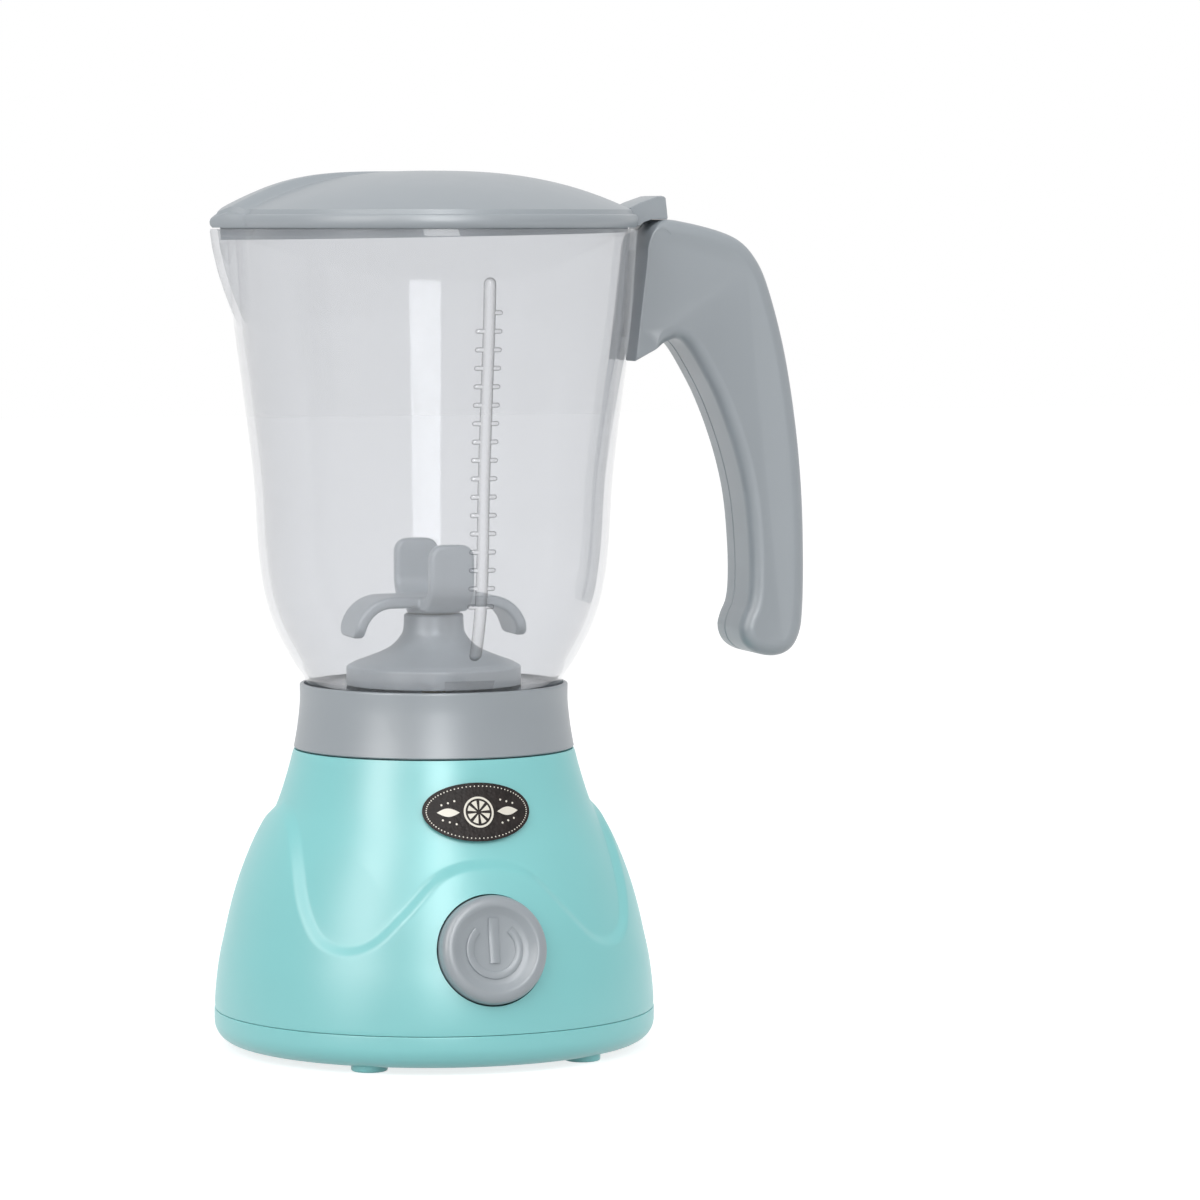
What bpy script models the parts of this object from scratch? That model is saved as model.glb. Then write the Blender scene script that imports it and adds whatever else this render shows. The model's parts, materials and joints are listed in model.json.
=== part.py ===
"""Toy blender: a battery-run play blender with a lift-off jar, a lid and a real drive train.

Every piece is built round the blender's own upright axis, with its front at -Y, its spout at -X
and its handle at +X. The soles of the feet stand at height zero. The whole blender hangs on one
empty, which moves the axis so that the spout and the handle reach equally far from the origin.
"""

import math

import bmesh
import bpy
from mathutils import Matrix, Vector

MM = 0.001

# Clearances and cutter overrun
GAP = 0.3 * MM
SHAFT_FIT = 0.12 * MM
PRESS_FIT = 0.1 * MM
OVERRUN = 2.0 * MM

# Sides of round pieces
SHELL_SIDES = 40
MIDDLE_SIDES = 28
SMALL_SIDES = 16
PIN_SIDES = 10
SCREW_SIDES = 7

# Base: feet, bottom cover and shell
FOOT_HEIGHT = 1.5 * MM
FOOT_RADIUS = 4.3 * MM
FOOT_INSET = 8.4 * MM
FOOT_ANGLE = math.radians(54.2)
BASE_RADIUS = 52.8 * MM
BASE_TOP_RADIUS = 33.55 * MM
BASE_HEIGHT = 71.8 * MM
COVER_HEIGHT = 9.2 * MM
COVER_EDGE = 5.0 * MM
COVER_FLOOR = 2.0 * MM
COVER_WALL = 4.2 * MM
COVER_LIP = 1.8 * MM
COVER_LIP_WALL = 1.5 * MM
SHELL_WALL = 1.6 * MM
DECK_THICKNESS = 2.0 * MM
DECK_HOLE = 3.6 * MM
RELIEF_SLOPE = 1.5 * MM

# Share of the way from the base's height zero to its top, and share of the way from the top's
# radius to the base's radius: the raised skirt, and the surface that it stands on
SKIRT_SHARES = (
    (0.13, 1.0), (0.21, 0.98), (0.30, 0.936), (0.38, 0.872), (0.46, 0.805),
    (0.54, 0.722), (0.62, 0.617), (0.70, 0.49), (0.76, 0.372), (0.82, 0.25), (1.0, 0.09),
)
BODY_SHARES = (
    (0.13, 0.955), (0.21, 0.932), (0.30, 0.875), (0.38, 0.812), (0.46, 0.74),
    (0.54, 0.645), (0.62, 0.535), (0.70, 0.405), (0.76, 0.30), (0.82, 0.2), (0.91, 0.09), (1.0, 0.0),
)
# Share of a quarter turn from the front to the side, and share of the base's height
WAVE_SHARES = (
    (0.0, 0.67), (0.08, 0.663), (0.17, 0.625), (0.28, 0.50), (0.36, 0.41), (0.43, 0.378),
    (0.5, 0.388), (0.56, 0.43), (0.62, 0.52), (0.7, 0.655), (0.78, 0.745), (0.87, 0.795), (1.0, 0.815),
)

# Screws of the base
SCREW_INSET = 8.8 * MM
SCREW_ANGLE = math.radians(40)
SCREW_RADIUS = 1.4 * MM
SCREW_HEAD_RADIUS = 2.8 * MM
SCREW_HEAD = 1.5 * MM
SCREW_RECESS = 3.5 * MM
COVER_SCREW_LENGTH = 15.0 * MM
COVER_BOSS_RADIUS = 4.9 * MM
SHELL_BOSS_RADIUS = 3.4 * MM

# Power button, its well and its switch
BUTTON_HEIGHT = 29.0 * MM
BUTTON_TILT = math.radians(11.7)
BUTTON_RADIUS = 12.7 * MM
BUTTON_PROUD = 2.9 * MM
BUTTON_DISH = 2.0 * MM
BUTTON_CREST_WIDTH = 3.4 * MM
BUTTON_SKIRT = 6.0 * MM
BUTTON_WALL = 1.4 * MM
BUTTON_FACE = 1.9 * MM
BUTTON_TRAVEL = 2.0 * MM
BUTTON_CLEARANCE = 0.4 * MM
STEM_RADIUS = 2.6 * MM
STEM_LENGTH = 14.0 * MM
WELL_WALL = 1.8 * MM
WELL_DEPTH = 9.0 * MM
WELL_FLOOR = 2.0 * MM
RETAINER_RADIUS = 5.0 * MM
RETAINER_THICKNESS = 0.8 * MM
BUTTON_SPRING_RADIUS = 5.5 * MM
SPRING_WIRE = 0.45 * MM
SWITCH_WIDTH = 13.0 * MM
SWITCH_HEIGHT = 9.0 * MM
SWITCH_LENGTH = 8.0 * MM
PLUNGER_RADIUS = 1.6 * MM
PLUNGER_STROKE_ROOM = 3.0 * MM
CRADLE_WALL = 1.6 * MM
POST_WIDTH = 8.0 * MM

# Two AA cells, their bay, contacts and door
CELL_RADIUS = 7.25 * MM
CELL_LENGTH = 50.5 * MM
CELL_NUB = 1.0 * MM
CELL_NUB_RADIUS = 2.7 * MM
CELL_SPACE = 0.4 * MM
CELL_ROOM = 0.8 * MM
CONTACT_THICKNESS = 0.5 * MM
CONTACT_WIDTH = 9.0 * MM
CONTACT_SPRING = 4.0 * MM
CONTACT_SPRING_RADIUS = 3.4 * MM
CONTACT_WIRE = 0.35 * MM
TAB_WIDTH = 2.4 * MM
TAB_LENGTH = 4.5 * MM
BAY_WALL = 1.6 * MM
DOOR_THICKNESS = 1.6 * MM
DOOR_LEDGE = 0.8 * MM
DOOR_TAB_RADIUS = 5.0 * MM
DOOR_TAB_REACH = 3.6 * MM
DOOR_BOSS_RADIUS = 4.3 * MM
DOOR_BOSS_HEIGHT = 3.0 * MM
DOOR_SCREW_RADIUS = 1.1 * MM
DOOR_SCREW_HEAD_RADIUS = 2.2 * MM
DOOR_SCREW_HEAD = 1.2 * MM
DOOR_SCREW_LENGTH = 3.8 * MM
DOOR_SCREW_DEPTH = 0.4 * MM

# Motor, gears and shafts
MOTOR_WIDTH = 20.1 * MM
MOTOR_THICKNESS = 15.1 * MM
MOTOR_SPACE = 3.9 * MM
MOTOR_CAP = 2.2 * MM
MOTOR_BOSS_RADIUS = 3.0 * MM
MOTOR_BOSS = 1.5 * MM
MOTOR_SHAFT_RADIUS = 1.0 * MM
MOTOR_SHAFT_DEPTH = 5.0 * MM
MOTOR_COLLAR = 9.0 * MM
MOTOR_COLLAR_WALL = 1.6 * MM
GEAR_MODULE = 0.8 * MM
GEAR_TEETH = 30
PINION_TEETH = 10
GEAR_BACKLASH = 0.3 * MM
GEAR_THICKNESS = 4.0 * MM
GEAR_HUB_RADIUS = 4.5 * MM
GEAR_HUB = 3.4 * MM
PINION_THICKNESS = 5.0 * MM
GEARBOX_HEADROOM = 3.5 * MM
GEARBOX_RADIUS = 24.0 * MM
GEARBOX_PLATE = 2.0 * MM
GEARBOX_ROOM = 10.0 * MM
GEARBOX_WALL = 1.6 * MM
GEARBOX_SCREW_CIRCLE = 20.0 * MM
GEARBOX_POST_RADIUS = 3.0 * MM
GEARBOX_SCREW_RADIUS = 1.0 * MM
GEARBOX_SCREW_HEAD_RADIUS = 2.3 * MM
GEARBOX_SCREW_BITE = 3.0 * MM
BUSH_RADIUS = 3.0 * MM
BUSH_FLANGE_RADIUS = 4.4 * MM
BUSH_FLANGE = 0.6 * MM
SHAFT_RADIUS = 1.5 * MM

# Collar and couplings
COLLAR_TOP_RADIUS = 32.1 * MM
COLLAR_HEIGHT = 15.4 * MM
COLLAR_WALL = 1.0 * MM
COLLAR_SKIRT_WALL = 2.0 * MM
COLLAR_DECK_DEPTH = 6.5 * MM
COLLAR_DECK_THICKNESS = 2.0 * MM
COLLAR_ROUND = 0.6 * MM
COLLAR_HOLE = 12.5 * MM
COLLAR_SCREW_CIRCLE = 26.0 * MM
COLLAR_SCREW_BITE = 4.5 * MM
COLLAR_BOSS_RADIUS = 3.0 * MM
COUPLING_RADIUS = 9.5 * MM
COUPLING_DISC = 3.6 * MM
COUPLING_STAR = 3.0 * MM
COUPLING_LOBES = 6
COUPLING_STAR_RADIUS = 5.6 * MM
COUPLING_LOBE_DEPTH = 0.9 * MM
COUPLING_CLEARANCE = 0.35 * MM
COUPLING_END_SPACE = 0.7 * MM
COUPLING_HUB = 3.6 * MM

# Jar
JAR_FOOT_RADIUS = 30.6 * MM
JAR_HEIGHT = 114.5 * MM
JAR_RIM_RADIUS = 49.0 * MM
JAR_WALL = 1.9 * MM
JAR_FLOOR_UP = 3.6 * MM
JAR_FLOOR = 2.0 * MM
JAR_FLOOR_HOLE = 3.5 * MM
JAR_FLOOR_SHARE = 0.9
# Share of the jar's height, and share of the way from the foot's radius to the rim's radius
JAR_SHARES = (
    (0.0, 0.0), (0.056, 0.0), (0.1, 0.165), (0.17, 0.39), (0.24, 0.53), (0.33, 0.61),
    (0.48, 0.667), (0.66, 0.798), (0.81, 0.918), (0.90, 0.96), (1.0, 1.0),
)
SPOUT_REACH = 5.5 * MM
SPOUT_HALF_WIDTH = 8.5 * MM
SPOUT_LENGTH = 23.5 * MM
SPOUT_FADE_POWER = 1.7
RIB_RADIUS = 1.55 * MM
RIB_LOW = 13.9 * MM
RIB_HIGH = 103.5 * MM
RIB_SINK = 0.35 * MM

# Rail on the jar that the handle grips
RAIL_LOW = 88.5 * MM
RAIL_HIGH = 109.0 * MM
RAIL_NECK = 1.2 * MM
RAIL_FLANGE = 4.0 * MM
RAIL_FLANGE_THICKNESS = 1.8 * MM

# Blade base and rotor
BLADE_BASE_RADIUS = 20.9 * MM
BLADE_BASE_RIM = 4.0 * MM
BLADE_BASE_HEIGHT = 16.8 * MM
BLADE_BASE_WALL = 2.0 * MM
BLADE_NECK_RADIUS = 7.1 * MM
BLADE_SCREW_CIRCLE = 14.0 * MM
BLADE_SCREW_BITE = 3.0 * MM
BLADE_POST_RADIUS = 2.4 * MM
ROTOR_HUB_RADIUS = 6.5 * MM
ROTOR_HUB = 4.2 * MM
ARM_THICKNESS = 2.7 * MM
ARM_WIDTH = 15.5 * MM
ARM_REACH = 21.4 * MM
ARM_DROP = 9.8 * MM
ARM_BEND = 8.0 * MM
PADDLE_THICKNESS = 3.2 * MM
PADDLE_WIDTH = 10.9 * MM
PADDLE_REACH = 17.0 * MM
PADDLE_RISE = 17.3 * MM
PADDLE_BEND = 6.0 * MM
BLADE_CORNER = 3.2 * MM

# Lid
LID_BAND = 3.9 * MM
LID_RISE = 9.6 * MM
LID_DOME_POWER = 2.5
LID_WALL = 1.8 * MM
LID_ROUND = 0.8 * MM
LID_PLUG_LOW = 2.8 * MM
LID_PLUG_TILT = 1.8 * MM
LID_PLUG_WALL = 1.8 * MM
LID_PLUG_CLEARANCE = 0.6 * MM
RIDGE_HEIGHT = 2.3 * MM
RIDGE_START = 7.0 * MM
RIDGE_FLANK_SHARE = 0.72
THUMB_TAB_WIDTH = 14.0 * MM
THUMB_TAB_REACH = 7.8 * MM
THUMB_TAB_RISE = 7.6 * MM
THUMB_TAB_WEB = 2.4 * MM

# Handle: two half shells, seen from the side as shares of its depth and length
HANDLE_ROOT = 1.9 * MM
HANDLE_DEPTH = 43.9 * MM
HANDLE_LENGTH = 105.7 * MM
HANDLE_TOP = 2.3 * MM
HANDLE_THICKNESS = 21.6 * MM
HANDLE_SEAM = 2.4 * MM
HANDLE_FILLET = 3.4 * MM
HANDLE_WALL = 2.2 * MM
HANDLE_SHARES = (
    (0.005, 0.679), (0.036, 0.789), (0.068, 0.900), (0.078, 0.941), (0.114, 0.9755), (0.191, 0.998),
    (0.317, 0.9925), (0.510, 0.9725), (0.633, 0.948), (0.72, 0.908), (0.784, 0.852), (0.861, 0.743),
    (0.916, 0.633), (0.9635, 0.495), (0.991, 0.3585), (1.0, 0.2195), (0.9955, 0.109), (0.977, 0.052),
    (0.9225, 0.014), (0.829, 0.0), (0.7175, 0.0085), (0.649, 0.030), (0.624, 0.0615), (0.640, 0.092),
    (0.670, 0.122), (0.683, 0.169), (0.679, 0.2545), (0.6515, 0.368), (0.590, 0.474), (0.494, 0.581),
    (0.3985, 0.6575), (0.3165, 0.7105), (0.262, 0.7275), (0.207, 0.723), (0.100, 0.700),
)
HANDLE_SCREW_SHARES = ((0.30, 0.86), (0.74, 0.62), (0.84, 0.16))
HANDLE_BOSS_RADIUS = 4.0 * MM
HANDLE_SCREW_RADIUS = 1.2 * MM
HANDLE_SCREW_HEAD_RADIUS = 2.6 * MM
HANDLE_SCREW_HEAD = 1.4 * MM
HANDLE_SCREW_SINK = 3.4 * MM
HANDLE_SCREW_BITE = 5.0 * MM

# Badge
BADGE_WIDTH = 26.6 * MM
BADGE_THICKNESS = 1.0 * MM
BADGE_OVER_WAVE = 2.33 * MM
BADGE_UNDER_COLLAR = 4.5 * MM

# Wires
WIRE_RADIUS = 0.6 * MM
WIRE_STEPS = 3

# Heights and places that follow from the sizes above
SHELL_LOW = COVER_HEIGHT + GAP
SHELL_TOP = BASE_HEIGHT - GAP
DECK_UNDER = SHELL_TOP - DECK_THICKNESS
FOOT_CIRCLE = BASE_RADIUS - FOOT_INSET
SCREW_CIRCLE = BASE_RADIUS - SCREW_INSET
WAVE_FRONT = WAVE_SHARES[0][1] * BASE_HEIGHT
BADGE_LOW = WAVE_FRONT + RELIEF_SLOPE + BADGE_OVER_WAVE
BADGE_TOP = BASE_HEIGHT - BADGE_UNDER_COLLAR
BADGE_HEIGHT = BADGE_TOP - BADGE_LOW
BADGE_CENTRE = (BADGE_TOP + BADGE_LOW) / 2
COLLAR_TOP = BASE_HEIGHT + COLLAR_HEIGHT
COLLAR_DECK_TOP = COLLAR_TOP - COLLAR_DECK_DEPTH
COLLAR_DECK_UNDER = COLLAR_DECK_TOP - COLLAR_DECK_THICKNESS
JAR_LOW = COLLAR_DECK_TOP + GAP
JAR_RIM = JAR_LOW + JAR_HEIGHT
JAR_FLOOR_UNDER = JAR_LOW + JAR_FLOOR_UP
JAR_FLOOR_TOP = JAR_FLOOR_UNDER + JAR_FLOOR
LID_LOW = JAR_RIM + GAP
LID_EDGE = LID_LOW + LID_BAND
LID_TOP = LID_EDGE + LID_RISE
COUPLING_TOP = JAR_FLOOR_UNDER - GAP
CUP_LOW = COUPLING_TOP - COUPLING_HUB - COUPLING_STAR - GAP
DRIVE_DISC_TOP = CUP_LOW - COUPLING_END_SPACE
DRIVE_DISC_LOW = DRIVE_DISC_TOP - COUPLING_DISC
BLADE_BASE_LOW = JAR_FLOOR_TOP + GAP
BLADE_BASE_TOP = BLADE_BASE_LOW + BLADE_BASE_HEIGHT
HUB_LOW = BLADE_BASE_TOP + GAP
HUB_TOP = HUB_LOW + ROTOR_HUB
BAY_HALF_LENGTH = (CELL_LENGTH + CONTACT_SPRING + 2 * CONTACT_THICKNESS + 5 * GAP) / 2
BAY_HALF_WIDTH = 2 * CELL_RADIUS + CELL_SPACE / 2 + 2 * GAP
CELL_Y = CELL_RADIUS + CELL_SPACE / 2
DOOR_TOP = FOOT_HEIGHT + DOOR_THICKNESS
CELL_Z = DOOR_TOP + CELL_ROOM + CELL_RADIUS
BAY_ROOF_UNDER = CELL_Z + CELL_RADIUS + CELL_ROOM
BAY_ROOF_TOP = BAY_ROOF_UNDER + BAY_WALL
DOOR_HALF_LENGTH = BAY_HALF_LENGTH + DOOR_LEDGE - GAP
DOOR_HALF_WIDTH = BAY_HALF_WIDTH + DOOR_LEDGE - GAP
DOOR_SCREW_X = DOOR_HALF_LENGTH + DOOR_TAB_REACH
GEARBOX_TOP = DECK_UNDER - GEARBOX_HEADROOM
GEARBOX_ROOF = GEARBOX_TOP - GEARBOX_PLATE
FRAME_TOP = GEARBOX_ROOF - GEARBOX_ROOM
GEARBOX_HEIGHT = FRAME_TOP - GEARBOX_PLATE
GEAR_LOW = FRAME_TOP + 3 * GAP + BUSH_FLANGE
SHAFT_DISTANCE = GEAR_MODULE * (GEAR_TEETH + PINION_TEETH) / 2
MOTOR_TOP = GEARBOX_HEIGHT - GAP
MOTOR_LOW = BAY_ROOF_TOP + MOTOR_SPACE + MOTOR_CAP + GAP
SPRING_CENTRES = ((-1, 1), (1, -1))
HANDLE_X = JAR_RIM_RADIUS - HANDLE_ROOT
HANDLE_LOW = JAR_RIM + HANDLE_TOP - HANDLE_LENGTH
HANDLE_END = HANDLE_X + HANDLE_DEPTH
SPOUT_END = JAR_RIM_RADIUS + SPOUT_REACH
AXIS_X = (SPOUT_END - HANDLE_END) / 2

FINISHES = {
    "mint_plastic": ((0.36, 0.69, 0.70, 1.0), 0.35, 0.0),
    "gray_plastic": ((0.35, 0.38, 0.41, 1.0), 0.4, 0.0),
    "clear_plastic": ((0.9, 0.92, 0.93, 0.3), 0.08, 0.0),
    "badge_brown": ((0.035, 0.022, 0.018, 1.0), 0.5, 0.0),
    "black_plastic": ((0.02, 0.02, 0.022, 1.0), 0.5, 0.0),
    "white_plastic": ((0.75, 0.74, 0.70, 1.0), 0.45, 0.0),
    "steel": ((0.55, 0.55, 0.56, 1.0), 0.3, 1.0),
    "brass": ((0.70, 0.52, 0.25, 1.0), 0.35, 1.0),
    "cell_wrap": ((0.02, 0.10, 0.06, 1.0), 0.4, 0.0),
    "wire_red": ((0.55, 0.03, 0.02, 1.0), 0.5, 0.0),
    "wire_black": ((0.01, 0.01, 0.01, 1.0), 0.5, 0.0),
}


def clear_scene():
    for old in list(bpy.data.objects):
        bpy.data.objects.remove(old, do_unlink=True)


def material(name):
    """The named plastic or metal, made once."""
    found = bpy.data.materials.get(name)
    if found is None:
        colour, roughness, metallic = FINISHES[name]
        found = bpy.data.materials.new(name)
        found.use_nodes = True
        shader = found.node_tree.nodes["Principled BSDF"]
        shader.inputs["Base Color"].default_value = colour
        shader.inputs["Roughness"].default_value = roughness
        shader.inputs["Metallic"].default_value = metallic
        shader.inputs["Alpha"].default_value = colour[3]
    return found


def empty(name, location=(0, 0, 0), parent=None):
    """An empty that carries the pieces of one moving body, on its joint's axis."""
    frame = bpy.data.objects.new(name, None)
    bpy.context.scene.collection.objects.link(frame)
    frame.location = location
    frame.parent = parent
    return frame


def blend_table(table, where):
    """A smooth value from a table of (place, value) pairs, flat at its ends."""
    if where <= table[0][0]:
        return table[0][1]
    for index in range(len(table) - 1):
        low, high = table[index], table[index + 1]
        if where <= high[0]:
            before = table[max(index - 1, 0)]
            after = table[min(index + 2, len(table) - 1)]
            span = high[0] - low[0]
            share = (where - low[0]) / span
            slope_low = (high[1] - before[1]) / (high[0] - before[0]) * span
            slope_high = (after[1] - low[1]) / (after[0] - low[0]) * span
            square, cube = share ** 2, share ** 3
            return (
                low[1] * (2 * cube - 3 * square + 1)
                + slope_low * (cube - 2 * square + share)
                + high[1] * (3 * square - 2 * cube)
                + slope_high * (cube - square)
            )
    return table[-1][1]


def soft_step(value):
    """0 below zero, 1 above one, and a smooth rise between."""
    value = min(max(value, 0.0), 1.0)
    return value * value * (3 - 2 * value)


# Mesh helpers


def skin(rings, closed=False):
    """A mesh through rings of points. A ring of one point is a tip, and open ends get a flat cap."""
    mesh = bmesh.new()
    made = [[mesh.verts.new(point) for point in ring] for ring in rings]
    pairs = list(zip(made, made[1:]))
    if closed:
        pairs.append((made[-1], made[0]))
    for low, high in pairs:
        count = max(len(low), len(high))
        for index in range(count):
            after = (index + 1) % count
            if len(low) == 1:
                mesh.faces.new((low[0], high[after], high[index]))
            elif len(high) == 1:
                mesh.faces.new((low[index], low[after], high[0]))
            else:
                mesh.faces.new((low[index], low[after], high[after], high[index]))
    if not closed:
        for ring in (made[0], made[-1]):
            if len(ring) > 1:
                mesh.faces.new(ring)
    bmesh.ops.recalc_face_normals(mesh, faces=mesh.faces)
    return mesh


def circle(radius, height, sides, centre=(0, 0)):
    """One ring of points round an upright axis, or one point where the radius is zero."""
    if radius == 0:
        return [Vector((centre[0], centre[1], height))]
    return [
        Vector((centre[0] + radius * math.cos(turn), centre[1] + radius * math.sin(turn), height))
        for turn in (math.tau * index / sides for index in range(sides))
    ]


def lathe(profile, sides, centre=(0, 0), closed=False):
    """A turned solid from (radius, height) pairs."""
    return skin([circle(radius, height, sides, centre) for radius, height in profile], closed)


def rod(radius, low, high, sides=SMALL_SIDES, centre=(0, 0)):
    return lathe(((radius, low), (radius, high)), sides, centre)


def tube(outer, inner, low, high, sides=SMALL_SIDES, centre=(0, 0)):
    return lathe(((outer, low), (outer, high), (inner, high), (inner, low)), sides, centre, closed=True)


def prism(outline, low, high):
    """An outline of (x, y) pairs, extruded upward."""
    return skin([[Vector((x, y, height)) for x, y in outline] for height in (low, high)])


def box(low, high):
    """A block between two corners."""
    return prism(
        ((low[0], low[1]), (high[0], low[1]), (high[0], high[1]), (low[0], high[1])), low[2], high[2]
    )


def side_prism(outline, low, high):
    """An outline of (x, z) pairs, extruded along Y."""
    return skin([[Vector((x, depth, z)) for x, z in outline] for depth in (low, high)])


def moved(mesh, matrix):
    """The same mesh, carried by a matrix."""
    bmesh.ops.transform(mesh, matrix=matrix, verts=mesh.verts)
    return mesh


def helix(radius, wire, low, high, turns, centre=(0, 0)):
    """A round-wire spring with an upright axis, as one unbroken tube."""
    steps = turns * 8
    rings = []
    for index in range(steps + 1):
        turn = math.tau * turns * index / steps
        height = low + wire + (high - low - 2 * wire) * index / steps
        out = Vector((math.cos(turn), math.sin(turn), 0))
        middle = Vector((centre[0], centre[1], height)) + out * radius
        rings.append([
            middle + out * (wire * math.cos(angle)) + Vector((0, 0, wire * math.sin(angle)))
            for angle in (math.tau * side / 4 for side in range(4))
        ])
    return skin(rings)


def to_object(name, mesh):
    """The mesh as a new object in the scene."""
    data = bpy.data.meshes.new(name)
    mesh.to_mesh(data)
    mesh.free()
    made = bpy.data.objects.new(name, data)
    bpy.context.scene.collection.objects.link(made)
    return made


def combine(target, pieces, operation):
    """Joins pieces to an object, or cuts them out of it, all in one step."""
    together = bmesh.new()
    for mesh in pieces:
        data = bpy.data.meshes.new("tool")
        mesh.to_mesh(data)
        mesh.free()
        together.from_mesh(data)
    tool = to_object("tool", together)
    change = target.modifiers.new("combine", "BOOLEAN")
    change.operation = operation
    change.solver = "EXACT"
    change.use_self = len(pieces) > 1
    change.object = tool
    graph = bpy.context.evaluated_depsgraph_get()
    result = bpy.data.meshes.new_from_object(target.evaluated_get(graph))
    target.modifiers.remove(change)
    target.data = result
    bpy.data.objects.remove(tool, do_unlink=True)
    return target


def join(target, *pieces):
    return combine(target, pieces, "UNION")


def cut(target, *pieces):
    return combine(target, pieces, "DIFFERENCE")


def finish(made, finish_name, parent):
    """Gives an object its material, its shading and its body."""
    made.data.materials.clear()
    made.data.materials.append(material(finish_name))
    made.data.shade_smooth()
    made.data.set_sharp_from_angle(angle=math.radians(32))
    made.parent = parent
    return made


def piece(name, mesh, finish_name, parent):
    return finish(to_object(name, mesh), finish_name, parent)


def round_places(circle_radius, angles):
    """Points on a circle round the blender's axis."""
    return [(circle_radius * math.cos(angle), circle_radius * math.sin(angle)) for angle in angles]


def corners(circle_radius, angle):
    """Four places, one in each quarter."""
    return round_places(circle_radius, (angle, math.pi - angle, math.pi + angle, -angle))


def screw_mesh(head_radius, head, radius, length):
    """A self-tapping screw that points up from the underside of its head at height zero."""
    point = length - radius
    profile = ((head_radius, -head), (head_radius, 0), (radius, 0), (radius, point), (0, length))
    return lathe(profile, SCREW_SIDES)


# The base's surface


def along(shares, height):
    """The base's radius at a height, from a table of shares."""
    share = blend_table(shares, height / BASE_HEIGHT)
    return BASE_TOP_RADIUS + share * (BASE_RADIUS - BASE_TOP_RADIUS)


def wave_height(angle):
    """Height of the relief's edge at an angle from +X."""
    quarter = math.asin(min(abs(math.cos(angle)), 1.0)) / (math.pi / 2)
    return blend_table(WAVE_SHARES, quarter) * BASE_HEIGHT


def boss_top():
    """Height at which the bosses of the bottom screws run into the shell's sloping wall."""
    reach = SCREW_CIRCLE + SHELL_BOSS_RADIUS + SHELL_WALL / 2
    low, high = SHELL_LOW, DECK_UNDER
    for _ in range(30):
        middle = (low + high) / 2
        if along(BODY_SHARES, middle) > reach:
            low = middle
        else:
            high = middle
    return low


def make_base_shell(parent):
    """Bell of the base, with the wave relief, its deck, bosses and the button's well."""
    low_steps, high_steps = 5, 4
    outer = []
    for level in range(low_steps + high_steps + 2):
        ring = []
        for side in range(SHELL_SIDES):
            angle = math.tau * side / SHELL_SIDES
            wave = wave_height(angle)
            edge_low, edge_high = wave - RELIEF_SLOPE, wave + RELIEF_SLOPE
            if level <= low_steps:
                height = SHELL_LOW + (edge_low - SHELL_LOW) * level / low_steps
                radius = along(SKIRT_SHARES, height)
            else:
                height = edge_high + (SHELL_TOP - edge_high) * (level - low_steps - 1) / high_steps
                radius = along(BODY_SHARES, height)
            ring.append(Vector((radius * math.cos(angle), radius * math.sin(angle), height)))
        outer.append(ring)
    inner = [
        circle(along(BODY_SHARES, DECK_UNDER + (SHELL_LOW - DECK_UNDER) * share) - SHELL_WALL,
               DECK_UNDER + (SHELL_LOW - DECK_UNDER) * share, SHELL_SIDES)
        for share in (0.0, 0.3, 0.6, 0.8, 1.0)
    ]
    hole = [circle(DECK_HOLE, SHELL_TOP, SHELL_SIDES), circle(DECK_HOLE, DECK_UNDER, SHELL_SIDES)]
    shell = to_object("base_shell", skin(outer + hole + inner, closed=True))

    bosses = [
        rod(SHELL_BOSS_RADIUS, SHELL_LOW, boss_top(), PIN_SIDES, place)
        for place in corners(SCREW_CIRCLE, SCREW_ANGLE)
    ]
    bosses += [
        rod(GEARBOX_POST_RADIUS, GEARBOX_TOP + GAP, DECK_UNDER + DECK_THICKNESS / 2, PIN_SIDES, place)
        for place in gearbox_screw_places()
    ]
    well = BUTTON_RADIUS + BUTTON_CLEARANCE + WELL_WALL
    bosses.append(moved(rod(well, -WELL_DEPTH - WELL_FLOOR, -SHELL_WALL, SMALL_SIDES), button_matrix()))
    join(shell, *bosses)

    pilot = SCREW_RADIUS + GAP
    bite = GEARBOX_SCREW_RADIUS + GAP
    holes = [
        rod(pilot, SHELL_LOW - OVERRUN, cover_screw_seat() + COVER_SCREW_LENGTH + GAP, PIN_SIDES, place)
        for place in corners(SCREW_CIRCLE, SCREW_ANGLE)
    ]
    holes += [
        rod(bite, GEARBOX_TOP - OVERRUN, GEARBOX_TOP + GEARBOX_SCREW_BITE + 3 * GAP, PIN_SIDES, place)
        for place in gearbox_screw_places()
    ]
    holes += [
        rod(bite, DECK_UNDER - OVERRUN, SHELL_TOP + OVERRUN, PIN_SIDES, place)
        for place in collar_screw_places()
    ]
    bore = rod(BUTTON_RADIUS + BUTTON_CLEARANCE, -WELL_DEPTH, BUTTON_PROUD + OVERRUN, MIDDLE_SIDES)
    stem_hole = rod(STEM_RADIUS + GAP, -WELL_DEPTH - WELL_FLOOR - OVERRUN, -WELL_DEPTH + OVERRUN)
    holes += [moved(bore, button_matrix()), moved(stem_hole, button_matrix())]
    cut(shell, *holes)
    return finish(shell, "mint_plastic", parent)


def cover_screw_seat():
    """Height of the ledge that the bottom screws pull on."""
    return FOOT_HEIGHT + SCREW_RECESS


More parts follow.
